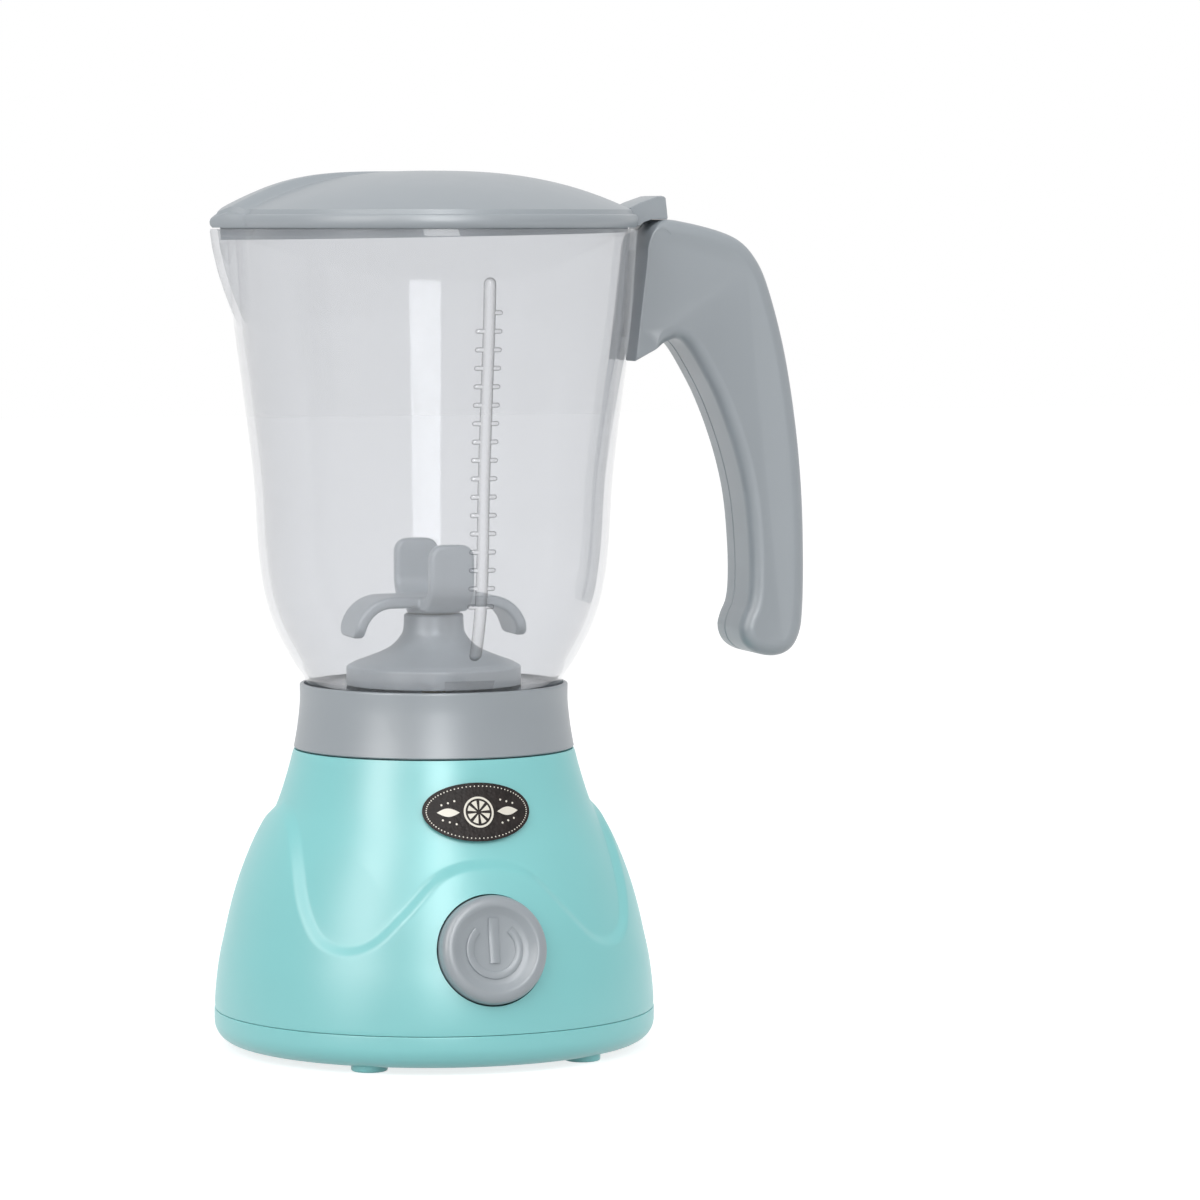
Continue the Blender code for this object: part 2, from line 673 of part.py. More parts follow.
def make_bottom_cover(parent):
    """Dish under the base: feet, screw bosses, battery bay and the switch's cradle."""
    floor_top = FOOT_HEIGHT + COVER_FLOOR
    edge = [
        (BASE_RADIUS - COVER_EDGE + COVER_EDGE * math.sin(turn),
         FOOT_HEIGHT + COVER_EDGE - COVER_EDGE * math.cos(turn))
        for turn in (math.pi / 2 * step / 3 for step in range(4))
    ]
    lip = BASE_RADIUS - COVER_WALL + COVER_LIP_WALL
    profile = [(0, FOOT_HEIGHT)] + edge + [
        (BASE_RADIUS, COVER_HEIGHT),
        (lip, COVER_HEIGHT),
        (lip, COVER_HEIGHT + COVER_LIP),
        (BASE_RADIUS - COVER_WALL, COVER_HEIGHT + COVER_LIP),
        (BASE_RADIUS - COVER_WALL, floor_top),
        (0, floor_top),
    ]
    cover = to_object("bottom_cover", lathe(profile, SHELL_SIDES))
    low = FOOT_HEIGHT + COVER_FLOOR / 2
    bay_x, bay_y = BAY_HALF_LENGTH, BAY_HALF_WIDTH
    parts = [
        box((-bay_x - BAY_WALL, -bay_y - BAY_WALL, low), (bay_x + BAY_WALL, bay_y + BAY_WALL, BAY_ROOF_TOP)),
        rod(DOOR_BOSS_RADIUS + GAP + BAY_WALL, low, COVER_HEIGHT, SMALL_SIDES, (DOOR_SCREW_X, 0)),
    ]
    parts += [rod(FOOT_RADIUS, 0, low, PIN_SIDES, place) for place in corners(FOOT_CIRCLE, FOOT_ANGLE)]
    parts += [
        rod(COVER_BOSS_RADIUS, low, COVER_HEIGHT, PIN_SIDES, place)
        for place in corners(SCREW_CIRCLE, SCREW_ANGLE)
    ]
    parts += cradle_meshes(low)
    join(cover, *parts)

    ledge_x, ledge_y = bay_x + DOOR_LEDGE, bay_y + DOOR_LEDGE
    under = FOOT_HEIGHT - OVERRUN
    tab_half = DOOR_TAB_RADIUS + GAP
    holes = [
        box((-bay_x, -bay_y, under), (bay_x, bay_y, BAY_ROOF_UNDER)),
        box((-ledge_x, -ledge_y, under), (ledge_x, ledge_y, DOOR_TOP + GAP / 2)),
        box((bay_x, -tab_half, under), (DOOR_SCREW_X, tab_half, DOOR_TOP + GAP / 2)),
        rod(tab_half, under, DOOR_TOP + GAP / 2, SMALL_SIDES, (DOOR_SCREW_X, 0)),
        rod(DOOR_BOSS_RADIUS + GAP, under, FOOT_HEIGHT + DOOR_BOSS_HEIGHT + GAP, SMALL_SIDES,
            (DOOR_SCREW_X, 0)),
        rod(DOOR_SCREW_RADIUS + GAP, under, COVER_HEIGHT + OVERRUN, PIN_SIDES, (DOOR_SCREW_X, 0)),
    ]
    for place in corners(SCREW_CIRCLE, SCREW_ANGLE):
        holes.append(rod(SCREW_HEAD_RADIUS + GAP, under, cover_screw_seat(), PIN_SIDES, place))
        holes.append(rod(SCREW_RADIUS + GAP, under, COVER_HEIGHT + OVERRUN, PIN_SIDES, place))
    slot_x, slot_y = CONTACT_THICKNESS + GAP, TAB_WIDTH / 2 + GAP
    for end, row in contact_tabs():
        at_x = end * (BAY_HALF_LENGTH - GAP - CONTACT_THICKNESS / 2)
        holes.append(box(
            (at_x - slot_x, row * CELL_Y - slot_y, BAY_ROOF_UNDER - OVERRUN),
            (at_x + slot_x, row * CELL_Y + slot_y, BAY_ROOF_TOP + OVERRUN),
        ))
    cut(cover, *holes)
    return finish(cover, "mint_plastic", parent)


def make_cover_screws(parent):
    for index, place in enumerate(corners(SCREW_CIRCLE, SCREW_ANGLE), 1):
        mesh = screw_mesh(SCREW_HEAD_RADIUS, SCREW_HEAD, SCREW_RADIUS, COVER_SCREW_LENGTH)
        lift = Matrix.Translation((place[0], place[1], cover_screw_seat() - GAP))
        piece(f"bottom_screw_{index}", moved(mesh, lift), "steel", parent)


# Button, switch and cradle


def button_matrix():
    """Frame of the button: local Z points out of the base's front, up by the tilt."""
    out = along(SKIRT_SHARES, BUTTON_HEIGHT)
    place = Matrix.Translation((0, -out, BUTTON_HEIGHT))
    return place @ Matrix.Rotation(math.pi / 2 - BUTTON_TILT, 4, "X")


def switch_front():
    """Where the switch's front face lies on the button's axis."""
    return -STEM_LENGTH - BUTTON_TRAVEL - 3 * GAP


def cradle_meshes(floor):
    """Shelf, back plate and post that hold the switch, before they join the bottom cover."""
    front = switch_front()
    back = front - SWITCH_LENGTH - GAP
    shelf_top = -SWITCH_HEIGHT / 2 - GAP
    half = SWITCH_WIDTH / 2
    shelf = box((-half, shelf_top - CRADLE_WALL, back - CRADLE_WALL), (half, shelf_top, front))
    plate = box((-half, shelf_top - CRADLE_WALL / 2, back - CRADLE_WALL), (half, SWITCH_HEIGHT / 2, back))
    middle = button_matrix() @ Vector((0, shelf_top - CRADLE_WALL / 2, (front + back) / 2))
    reach = SWITCH_LENGTH / 4
    post = box(
        (-POST_WIDTH / 2, middle.y - reach, floor), (POST_WIDTH / 2, middle.y + reach, middle.z)
    )
    return [post, moved(shelf, button_matrix()), moved(plate, button_matrix())]


def button_face():
    """The button's face from its middle to its rim, as (radius, height) pairs."""
    crest, width, rim = BUTTON_PROUD, BUTTON_CREST_WIDTH, BUTTON_RADIUS
    return (
        (0, crest - BUTTON_DISH),
        (rim - width - BUTTON_WALL, crest - BUTTON_DISH * 0.8),
        (rim - width, crest - BUTTON_DISH * 0.25),
        (rim - width * 0.75, crest),
        (rim - width * 0.35, crest - BUTTON_DISH * 0.1),
        (rim - width * 0.08, crest - BUTTON_DISH * 0.5),
        (rim, crest - BUTTON_DISH),
    )


def button_reach():
    """How far in front of the blender's axis the tilted button reaches."""
    lift = max(
        height * math.cos(BUTTON_TILT) + radius * math.sin(BUTTON_TILT) for radius, height in button_face()
    )
    return along(SKIRT_SHARES, BUTTON_HEIGHT) + lift


def make_button(parent):
    """The gray cap with its dished face and stem, the plunger and the washer behind the well."""
    rim = BUTTON_RADIUS
    under = BUTTON_PROUD - BUTTON_DISH - BUTTON_FACE
    profile = button_face() + (
        (rim, -BUTTON_SKIRT),
        (rim - BUTTON_WALL, -BUTTON_SKIRT),
        (rim - BUTTON_WALL, under),
        (STEM_RADIUS, under),
        (STEM_RADIUS, -STEM_LENGTH),
        (0, -STEM_LENGTH),
    )
    piece("power_button", lathe(profile, MIDDLE_SIDES), "gray_plastic", parent)
    behind = -WELL_DEPTH - WELL_FLOOR - GAP
    washer = tube(RETAINER_RADIUS, STEM_RADIUS + SHAFT_FIT, behind - RETAINER_THICKNESS, behind)
    piece("button_retainer", washer, "steel", parent)
    front = switch_front()
    plunger = rod(PLUNGER_RADIUS, front - PLUNGER_STROKE_ROOM / 2, -STEM_LENGTH - GAP, PIN_SIDES)
    piece("switch_plunger", plunger, "white_plastic", parent)
    spring = helix(BUTTON_SPRING_RADIUS, SPRING_WIRE, -WELL_DEPTH + GAP, under - GAP, 5)
    piece("button_spring", spring, "steel", parent)


def make_switch(parent):
    """Switch body in its cradle, with a bore for the plunger's stroke."""
    front = switch_front()
    half, tall = SWITCH_WIDTH / 2, SWITCH_HEIGHT / 2
    switch = to_object("switch_body", box((-half, -tall, front - SWITCH_LENGTH), (half, tall, front)))
    depth = PLUNGER_STROKE_ROOM / 2 + BUTTON_TRAVEL + GAP
    cut(switch, rod(PLUNGER_RADIUS + GAP, front - depth, front + OVERRUN, PIN_SIDES))
    switch.data.transform(button_matrix())
    return finish(switch, "black_plastic", parent)


# Cells, contacts and door


def contact_tabs():
    """End and row of each contact that has a solder tab through the bay's roof."""
    return ((1, 1), (1, -1))


def make_cells(parent):
    """Two AA cells, lying side by side and head to tail."""
    body = CELL_LENGTH - CELL_NUB
    middle = CONTACT_SPRING / 2
    for index, row in enumerate((1, -1), 1):
        mesh = lathe(
            (
                (0, -CELL_LENGTH / 2),
                (CELL_RADIUS, -CELL_LENGTH / 2),
                (CELL_RADIUS, body - CELL_LENGTH / 2),
                (CELL_NUB_RADIUS, body - CELL_LENGTH / 2),
                (CELL_NUB_RADIUS, CELL_LENGTH / 2),
                (0, CELL_LENGTH / 2),
            ),
            SMALL_SIDES,
        )
        turn = Matrix.Rotation(row * math.pi / 2, 4, "Y")
        shift = Matrix.Translation((row * (middle + GAP / 2), row * CELL_Y, CELL_Z))
        piece(f"battery_{index}", moved(mesh, shift @ turn), "cell_wrap", parent)


def make_contacts(parent):
    """Bridge at one end, two terminals at the other, and the springs that push the cells."""
    low = CELL_Z - CONTACT_WIDTH / 2
    high = CELL_Z + CONTACT_WIDTH / 2
    near = BAY_HALF_LENGTH - GAP
    half = CONTACT_WIDTH / 2
    bridge = box((-near, -CELL_Y - half, low), (-near + CONTACT_THICKNESS, CELL_Y + half, high))
    piece("bridge_contact", bridge, "brass", parent)
    for name, row in (("positive_contact", 1), ("negative_contact", -1)):
        edge = (row * CELL_Y - half, row * CELL_Y + half)
        plate = to_object(name, box((near - CONTACT_THICKNESS, edge[0], low), (near, edge[1], high)))
        tab = box(
            (near - CONTACT_THICKNESS, row * CELL_Y - TAB_WIDTH / 2, high - CONTACT_WIDTH / 4),
            (near, row * CELL_Y + TAB_WIDTH / 2, BAY_ROOF_TOP + TAB_LENGTH),
        )
        join(plate, tab)
        finish(plate, "brass", parent)
    for name, (end, row) in zip(("bridge_spring", "negative_spring"), SPRING_CENTRES):
        face = near - CONTACT_THICKNESS - GAP
        mesh = helix(CONTACT_SPRING_RADIUS, CONTACT_WIRE, 0, CONTACT_SPRING, 3)
        turn = Matrix.Rotation(-end * math.pi / 2, 4, "Y")
        shift = Matrix.Translation((end * face, row * CELL_Y, CELL_Z))
        piece(name, moved(mesh, shift @ turn), "steel", parent)


def make_door(parent):
    """Battery door, hinged at its outer edge, with its captive screw in a rounded tab."""
    offset = Vector((DOOR_HALF_LENGTH, 0, -FOOT_HEIGHT))
    shift = Matrix.Translation(offset)
    door = to_object("battery_door", box(
        (-DOOR_HALF_LENGTH, -DOOR_HALF_WIDTH, FOOT_HEIGHT), (DOOR_HALF_LENGTH, DOOR_HALF_WIDTH, DOOR_TOP)
    ))
    join(
        door,
        box((DOOR_HALF_LENGTH - DOOR_TAB_REACH, -DOOR_TAB_RADIUS, FOOT_HEIGHT),
            (DOOR_SCREW_X, DOOR_TAB_RADIUS, DOOR_TOP)),
        rod(DOOR_TAB_RADIUS, FOOT_HEIGHT, DOOR_TOP, SMALL_SIDES, (DOOR_SCREW_X, 0)),
        rod(DOOR_BOSS_RADIUS, FOOT_HEIGHT, FOOT_HEIGHT + DOOR_BOSS_HEIGHT, SMALL_SIDES, (DOOR_SCREW_X, 0)),
    )
    seat = FOOT_HEIGHT + DOOR_SCREW_DEPTH + DOOR_SCREW_HEAD
    cut(
        door,
        rod(DOOR_SCREW_HEAD_RADIUS + GAP, FOOT_HEIGHT - OVERRUN, seat + GAP, PIN_SIDES, (DOOR_SCREW_X, 0)),
        rod(DOOR_SCREW_RADIUS + GAP, FOOT_HEIGHT, FOOT_HEIGHT + DOOR_BOSS_HEIGHT + OVERRUN, PIN_SIDES,
            (DOOR_SCREW_X, 0)),
    )
    door.data.transform(shift)
    finish(door, "mint_plastic", parent)
    mesh = screw_mesh(DOOR_SCREW_HEAD_RADIUS, DOOR_SCREW_HEAD, DOOR_SCREW_RADIUS, DOOR_SCREW_LENGTH)
    lift = Matrix.Translation((DOOR_SCREW_X, 0, seat))
    piece("battery_door_screw", moved(mesh, shift @ lift), "steel", parent)


# Motor and gears


def motor_outline(grow=0.0):
    """A circle with two flats, as seen from above."""
    radius, flat = MOTOR_WIDTH / 2 + grow, MOTOR_THICKNESS / 2 + grow
    half = math.asin(flat / radius)
    steps = 7
    right = [-half + 2 * half * index / steps for index in range(steps + 1)]
    angles = right + [math.pi + angle for angle in right]
    return [(radius * math.cos(angle), SHAFT_DISTANCE + radius * math.sin(angle)) for angle in angles]


def make_motor(parent):
    """Small flatted motor: steel can with a front boss, and a plastic end cap under it."""
    can = to_object("motor_can", prism(motor_outline(), MOTOR_LOW, MOTOR_TOP))
    centre = (0, SHAFT_DISTANCE)
    join(can, rod(MOTOR_BOSS_RADIUS, MOTOR_TOP - OVERRUN, MOTOR_TOP + MOTOR_BOSS, SMALL_SIDES, centre))
    bore = MOTOR_SHAFT_RADIUS + SHAFT_FIT
    bottom = MOTOR_TOP - MOTOR_SHAFT_DEPTH - GAP
    cut(can, rod(bore, bottom, MOTOR_TOP + MOTOR_BOSS + OVERRUN, PIN_SIDES, centre))
    finish(can, "steel", parent)
    cap_top = MOTOR_LOW - GAP
    cap = prism(motor_outline(-GAP), cap_top - MOTOR_CAP, cap_top)
    piece("motor_end_cap", cap, "white_plastic", parent)


def tooth_outline(teeth, turn):
    """A spur gear's outline: root, flank and tip points of each tooth."""
    pitch = GEAR_MODULE * teeth / 2
    root, tip = pitch - 1.2 * GEAR_MODULE, pitch + 0.95 * GEAR_MODULE
    half_pitch = (math.pi * GEAR_MODULE / 2 - GEAR_BACKLASH) / 2
    levels = ((root, half_pitch * 1.62), (tip, half_pitch * 0.42))
    outline = []
    for tooth in range(teeth):
        middle = turn + math.tau * tooth / teeth
        up = [(radius, middle - half / radius) for radius, half in levels]
        down = [(radius, middle + half / radius) for radius, half in reversed(levels)]
        outline += [(radius * math.cos(angle), radius * math.sin(angle)) for radius, angle in up + down]
    return outline


def make_drive(parent):
    """Output gear, its shaft and the star coupling that drives the jar's rotor."""
    teeth = tooth_outline(GEAR_TEETH, math.pi / 2)
    gear = to_object("output_gear", prism(teeth, GEAR_LOW, GEAR_LOW + GEAR_THICKNESS))
    hub_top = GEAR_LOW + GEAR_THICKNESS + GEAR_HUB
    join(gear, rod(GEAR_HUB_RADIUS, GEAR_LOW + GEAR_THICKNESS / 2, hub_top))
    cut(gear, rod(SHAFT_RADIUS + PRESS_FIT, GEAR_LOW - OVERRUN, hub_top + OVERRUN, PIN_SIDES))
    finish(gear, "white_plastic", parent)
    shaft_top = DRIVE_DISC_TOP - GAP
    shaft = rod(SHAFT_RADIUS, GEARBOX_HEIGHT + GAP, shaft_top, PIN_SIDES)
    piece("output_shaft", shaft, "steel", parent)
    disc = rod(COUPLING_RADIUS, DRIVE_DISC_LOW, DRIVE_DISC_TOP, MIDDLE_SIDES)
    coupling = to_object("drive_coupling", disc)
    star_low = DRIVE_DISC_TOP - COUPLING_DISC / 2
    join(coupling, prism(star_outline(0.0), star_low, DRIVE_DISC_TOP + COUPLING_STAR))
    cut(coupling, rod(SHAFT_RADIUS + PRESS_FIT, DRIVE_DISC_LOW - OVERRUN, shaft_top + GAP, PIN_SIDES))
    finish(coupling, "white_plastic", parent)


def make_pinion(parent):
    """The motor's shaft and pinion, built round the shaft's own axis."""
    low = MOTOR_TOP - MOTOR_SHAFT_DEPTH
    high = GEAR_LOW + PINION_THICKNESS
    piece("motor_shaft", rod(MOTOR_SHAFT_RADIUS, low, high, PIN_SIDES), "steel", parent)
    half_tooth = math.pi / PINION_TEETH
    outline = tooth_outline(PINION_TEETH, -math.pi / 2 + half_tooth)
    pinion = to_object("motor_pinion", prism(outline, GEAR_LOW - GAP, GEAR_LOW - GAP + PINION_THICKNESS))
    cut(pinion, rod(MOTOR_SHAFT_RADIUS + PRESS_FIT, GEAR_LOW - OVERRUN, high + OVERRUN, PIN_SIDES))
    finish(pinion, "brass", parent)


def gearbox_screw_places():
    return round_places(GEARBOX_SCREW_CIRCLE, (0, math.pi, -math.pi / 2))


def make_gearbox(parent):
    """Frame with the motor's collar, cover with its posts, two bushes and three screws."""
    frame = to_object("gear_frame", rod(GEARBOX_RADIUS, GEARBOX_HEIGHT, FRAME_TOP, MIDDLE_SIDES))
    collar_low = GEARBOX_HEIGHT - MOTOR_COLLAR
    outer = prism(motor_outline(GAP + MOTOR_COLLAR_WALL), collar_low, GEARBOX_HEIGHT + GEARBOX_PLATE / 2)
    join(frame, outer)
    places = gearbox_screw_places()
    bite = GEARBOX_SCREW_RADIUS + GAP
    cut(
        frame,
        prism(motor_outline(GAP), collar_low - OVERRUN, GEARBOX_HEIGHT),
        rod(MOTOR_BOSS_RADIUS + GAP, GEARBOX_HEIGHT - OVERRUN, FRAME_TOP + OVERRUN, SMALL_SIDES,
            (0, SHAFT_DISTANCE)),
        rod(BUSH_RADIUS + PRESS_FIT, GEARBOX_HEIGHT - OVERRUN, FRAME_TOP + OVERRUN),
        *[rod(bite, GEARBOX_HEIGHT - OVERRUN, FRAME_TOP + OVERRUN, PIN_SIDES, place) for place in places],
    )
    finish(frame, "white_plastic", parent)

    wall = GEARBOX_RADIUS - GEARBOX_WALL
    low = FRAME_TOP + GAP
    profile = (
        (0, GEARBOX_TOP), (GEARBOX_RADIUS, GEARBOX_TOP), (GEARBOX_RADIUS, low),
        (wall, low), (wall, GEARBOX_ROOF), (0, GEARBOX_ROOF),
    )
    cover = to_object("gear_cover", lathe(profile, MIDDLE_SIDES))
    join(cover, *[
        rod(GEARBOX_POST_RADIUS, low, GEARBOX_ROOF + GEARBOX_PLATE / 2, PIN_SIDES, place) for place in places
    ])
    cut(
        cover,
        rod(BUSH_RADIUS + PRESS_FIT, GEARBOX_ROOF - OVERRUN, GEARBOX_TOP + OVERRUN),
        *[rod(bite, low - OVERRUN, GEARBOX_TOP + OVERRUN, PIN_SIDES, place) for place in places],
    )
    finish(cover, "white_plastic", parent)

    bore = SHAFT_RADIUS + SHAFT_FIT
    lower = ((BUSH_RADIUS, GEARBOX_HEIGHT + GAP), (BUSH_RADIUS, FRAME_TOP + GAP),
             (BUSH_FLANGE_RADIUS, FRAME_TOP + GAP), (BUSH_FLANGE_RADIUS, FRAME_TOP + GAP + BUSH_FLANGE),
             (bore, FRAME_TOP + GAP + BUSH_FLANGE), (bore, GEARBOX_HEIGHT + GAP))
    upper = ((BUSH_RADIUS, GEARBOX_TOP - GAP), (BUSH_RADIUS, GEARBOX_ROOF - GAP),
             (BUSH_FLANGE_RADIUS, GEARBOX_ROOF - GAP), (BUSH_FLANGE_RADIUS, GEARBOX_ROOF - GAP - BUSH_FLANGE),
             (bore, GEARBOX_ROOF - GAP - BUSH_FLANGE), (bore, GEARBOX_TOP - GAP))
    piece("lower_bush", lathe(lower, PIN_SIDES, closed=True), "brass", parent)
    piece("upper_bush", lathe(upper, PIN_SIDES, closed=True), "brass", parent)
    length = GEARBOX_TOP + GEARBOX_SCREW_BITE - GEARBOX_HEIGHT
    for index, place in enumerate(places, 1):
        mesh = screw_mesh(GEARBOX_SCREW_HEAD_RADIUS, SCREW_HEAD, GEARBOX_SCREW_RADIUS, length)
        lift = Matrix.Translation((place[0], place[1], GEARBOX_HEIGHT - GAP))
        piece(f"gearbox_screw_{index}", moved(mesh, lift), "steel", parent)


# Collar


def collar_screw_places():
    return round_places(COLLAR_SCREW_CIRCLE, [math.radians(angle) for angle in (60, 180, 300)])


def make_collar(parent):
    """Gray ring on the base's top, with the deck that the jar stands on, and its screws."""
    inner = COLLAR_TOP_RADIUS - COLLAR_WALL
    foot = BASE_TOP_RADIUS - COLLAR_SKIRT_WALL
    profile = (
        (BASE_TOP_RADIUS, BASE_HEIGHT),
        (BASE_TOP_RADIUS * 0.8 + COLLAR_TOP_RADIUS * 0.2, BASE_HEIGHT + COLLAR_HEIGHT * 0.12),
        (BASE_TOP_RADIUS * 0.4 + COLLAR_TOP_RADIUS * 0.6, BASE_HEIGHT + COLLAR_HEIGHT * 0.35),
        (COLLAR_TOP_RADIUS, COLLAR_TOP - COLLAR_ROUND),
        (COLLAR_TOP_RADIUS - COLLAR_ROUND / 2, COLLAR_TOP),
        (inner, COLLAR_TOP),
        (inner, COLLAR_DECK_TOP),
        (COLLAR_HOLE, COLLAR_DECK_TOP),
        (COLLAR_HOLE, COLLAR_DECK_UNDER),
        (foot, COLLAR_DECK_UNDER),
        (foot, BASE_HEIGHT),
    )
    collar = to_object("collar", lathe(profile, SHELL_SIDES, closed=True))
    places = collar_screw_places()
    bite = GEARBOX_SCREW_RADIUS + GAP
    join(collar, *[
        rod(COLLAR_BOSS_RADIUS, BASE_HEIGHT, COLLAR_DECK_UNDER + COLLAR_DECK_THICKNESS / 2, PIN_SIDES, place)
        for place in places
    ])
    hole_top = BASE_HEIGHT + COLLAR_SCREW_BITE + GAP
    cut(collar, *[rod(bite, BASE_HEIGHT - OVERRUN, hole_top, PIN_SIDES, place) for place in places])
    finish(collar, "gray_plastic", parent)
    seat = DECK_UNDER - GAP
    for index, place in enumerate(places, 1):
        length = BASE_HEIGHT + COLLAR_SCREW_BITE - seat
        mesh = screw_mesh(GEARBOX_SCREW_HEAD_RADIUS, SCREW_HEAD, GEARBOX_SCREW_RADIUS, length)
        lift = Matrix.Translation((place[0], place[1], seat))
        piece(f"collar_screw_{index}", moved(mesh, lift), "steel", parent)


def make_badge(parent):
    """Oval plate that follows the curve of the base's front."""
    sides = 28

    def ring(share, lift):
        points = []
        for side in range(sides):
            turn = math.tau * side / sides
            across = BADGE_WIDTH / 2 * share * math.cos(turn)
            height = BADGE_CENTRE + BADGE_HEIGHT / 2 * share * math.sin(turn)
            radius = along(BODY_SHARES, height) + lift
            angle = -math.pi / 2 + across / radius
            points.append(Vector((radius * math.cos(angle), radius * math.sin(angle), height)))
        return points

    def tip(lift):
        return [Vector((0, -along(BODY_SHARES, BADGE_CENTRE) - lift, BADGE_CENTRE))]

    top = GAP + BADGE_THICKNESS
    rings = [tip(GAP), ring(0.5, GAP), ring(1, GAP)]
    rings += [ring(1, top * 0.8), ring(0.96, top), ring(0.5, top), tip(top)]
    piece("badge", skin(rings), "badge_brown", parent)


# Jar, blade base and rotor


def jar_outer(height):
    """The jar's outer radius at a height above its foot."""
    share = blend_table(JAR_SHARES, height / JAR_HEIGHT)
    return JAR_FOOT_RADIUS + share * (JAR_RIM_RADIUS - JAR_FOOT_RADIUS)


def spout_lift(angle, fade):
    """How far the spout stands out at an angle from +X, where fade is 1 at the rim."""
    turn = abs(math.atan2(math.sin(angle - math.pi), math.cos(angle - math.pi)))
    reach = SPOUT_HALF_WIDTH / JAR_RIM_RADIUS
    share = max(0.0, 1 - turn / reach)
    return SPOUT_REACH * fade * (0.75 * share + 0.25 * soft_step(share))


def spout_fade(height):
    """1 at the rim, falling to 0 where the spout runs out."""
    down = (JAR_HEIGHT - height) / SPOUT_LENGTH
    return 0.0 if down >= 1 else 1 - down ** SPOUT_FADE_POWER


def jar_angles():
    """Columns round the jar, closer together at the spout."""
    reach = SPOUT_HALF_WIDTH / JAR_RIM_RADIUS
    fine = [math.pi + reach * share for share in (-1.0, -0.66, -0.33, 0.0, 0.33, 0.66)]
    count = SHELL_SIDES - len(fine)
    span = math.tau - 2 * reach
    coarse = [math.pi + reach + span * index / count for index in range(count)]
    return fine + coarse


def jar_ring(radius, height, angles, fade):
    points = []
    for angle in angles:
        out = radius + spout_lift(angle, fade)
        points.append(Vector((out * math.cos(angle), out * math.sin(angle), JAR_LOW + height)))
    return points


def jar_inner(height):
    """The inner wall's radius, a wall inside the outer one, measured square to the slope."""
    step = JAR_WALL / 2
    slope = (jar_outer(height + step) - jar_outer(height - step)) / (2 * step)
    return jar_outer(height) - JAR_WALL * math.hypot(1, slope)


def make_jar(parent):
    """Clear jar: foot ring, floor, wall with spout, measuring rib and the handle's rail."""
    angles = jar_angles()
    outer_shares = [share for share, _ in JAR_SHARES]
    rings = [
        jar_ring(jar_outer(share * JAR_HEIGHT), share * JAR_HEIGHT, angles, spout_fade(share * JAR_HEIGHT))
        for share in reversed(outer_shares)
    ]
    foot_inner = JAR_FOOT_RADIUS - JAR_WALL
    floor_top = JAR_FLOOR_UP + JAR_FLOOR
    rings += [
        jar_ring(foot_inner, 0, angles, 0),
        jar_ring(foot_inner, JAR_FLOOR_UP, angles, 0),
        jar_ring(JAR_FLOOR_HOLE, JAR_FLOOR_UP, angles, 0),
        jar_ring(JAR_FLOOR_HOLE, floor_top, angles, 0),
        jar_ring(foot_inner * JAR_FLOOR_SHARE, floor_top, angles, 0),
    ]
    for share in outer_shares[2:]:
        height = share * JAR_HEIGHT
        rings.append(jar_ring(jar_inner(height), height, angles, spout_fade(height)))
    jar = to_object("jar_body", skin(rings, closed=True))
    join(jar, rib_mesh(), *rail_meshes())
    pilot = GEARBOX_SCREW_RADIUS + GAP
    low, high = JAR_FLOOR_UNDER - OVERRUN, JAR_FLOOR_TOP + OVERRUN
    cut(jar, *[rod(pilot, low, high, PIN_SIDES, place) for place in blade_screw_places()])
    return finish(jar, "clear_plastic", parent)


def rib_mesh():
    """Half-round measuring rib down the jar's front, with rounded ends."""
    steps = 8
    rings = []
    for index in range(steps + 1):
        height = RIB_LOW + (RIB_HIGH - RIB_LOW) * index / steps
        radius = jar_outer(height) - RIB_SINK
        rings.append([
            Vector((RIB_RADIUS * math.cos(turn), -radius - RIB_RADIUS * math.sin(turn), JAR_LOW + height))
            for turn in (math.tau * side / 8 for side in range(8))
        ])
    ends = [rings[0], rings[-1]]
    for ring, side in zip(ends, (-1, 1)):
        middle = sum(ring, Vector()) / len(ring)
        small = [middle + (point - middle) * 0.6 + Vector((0, 0, side * RIB_RADIUS * 0.8)) for point in ring]
        if side < 0:
            rings.insert(0, small)
        else:
            rings.append(small)
    return skin(rings)


def handle_edge(height):
    """The X of the handle's end face, beside the jar, at a height."""
    low, high = HANDLE_SHARES[0], HANDLE_SHARES[2]
    low_z, high_z = (HANDLE_LOW + share[1] * HANDLE_LENGTH for share in (low, high))
    low_x, high_x = (HANDLE_X + share[0] * HANDLE_DEPTH for share in (low, high))
    return low_x + (high_x - low_x) * (height - low_z) / (high_z - low_z)


def rail_meshes():
    """Neck and flange of the T rail on the jar's wall."""
    low, high = JAR_LOW + RAIL_LOW, JAR_LOW + RAIL_HIGH
    behind = HANDLE_WALL + GAP
    root = [(jar_outer(RAIL_LOW) - JAR_WALL / 2, low), (jar_outer(RAIL_HIGH) - JAR_WALL / 2, high)]
    face = [(handle_edge(low) + behind, low), (handle_edge(high) + behind, high)]
    middle = [(x + RAIL_FLANGE_THICKNESS / 2, z) for x, z in face]
    back = [(x + RAIL_FLANGE_THICKNESS, z) for x, z in face]
    neck = side_prism((root[0], middle[0], middle[1], root[1]), -RAIL_NECK, RAIL_NECK)
    flange = side_prism((face[0], back[0], back[1], face[1]), -RAIL_FLANGE, RAIL_FLANGE)
    return [neck, flange]


def blade_screw_places():
    return round_places(BLADE_SCREW_CIRCLE, [math.radians(angle) for angle in (30, 150, 270)])


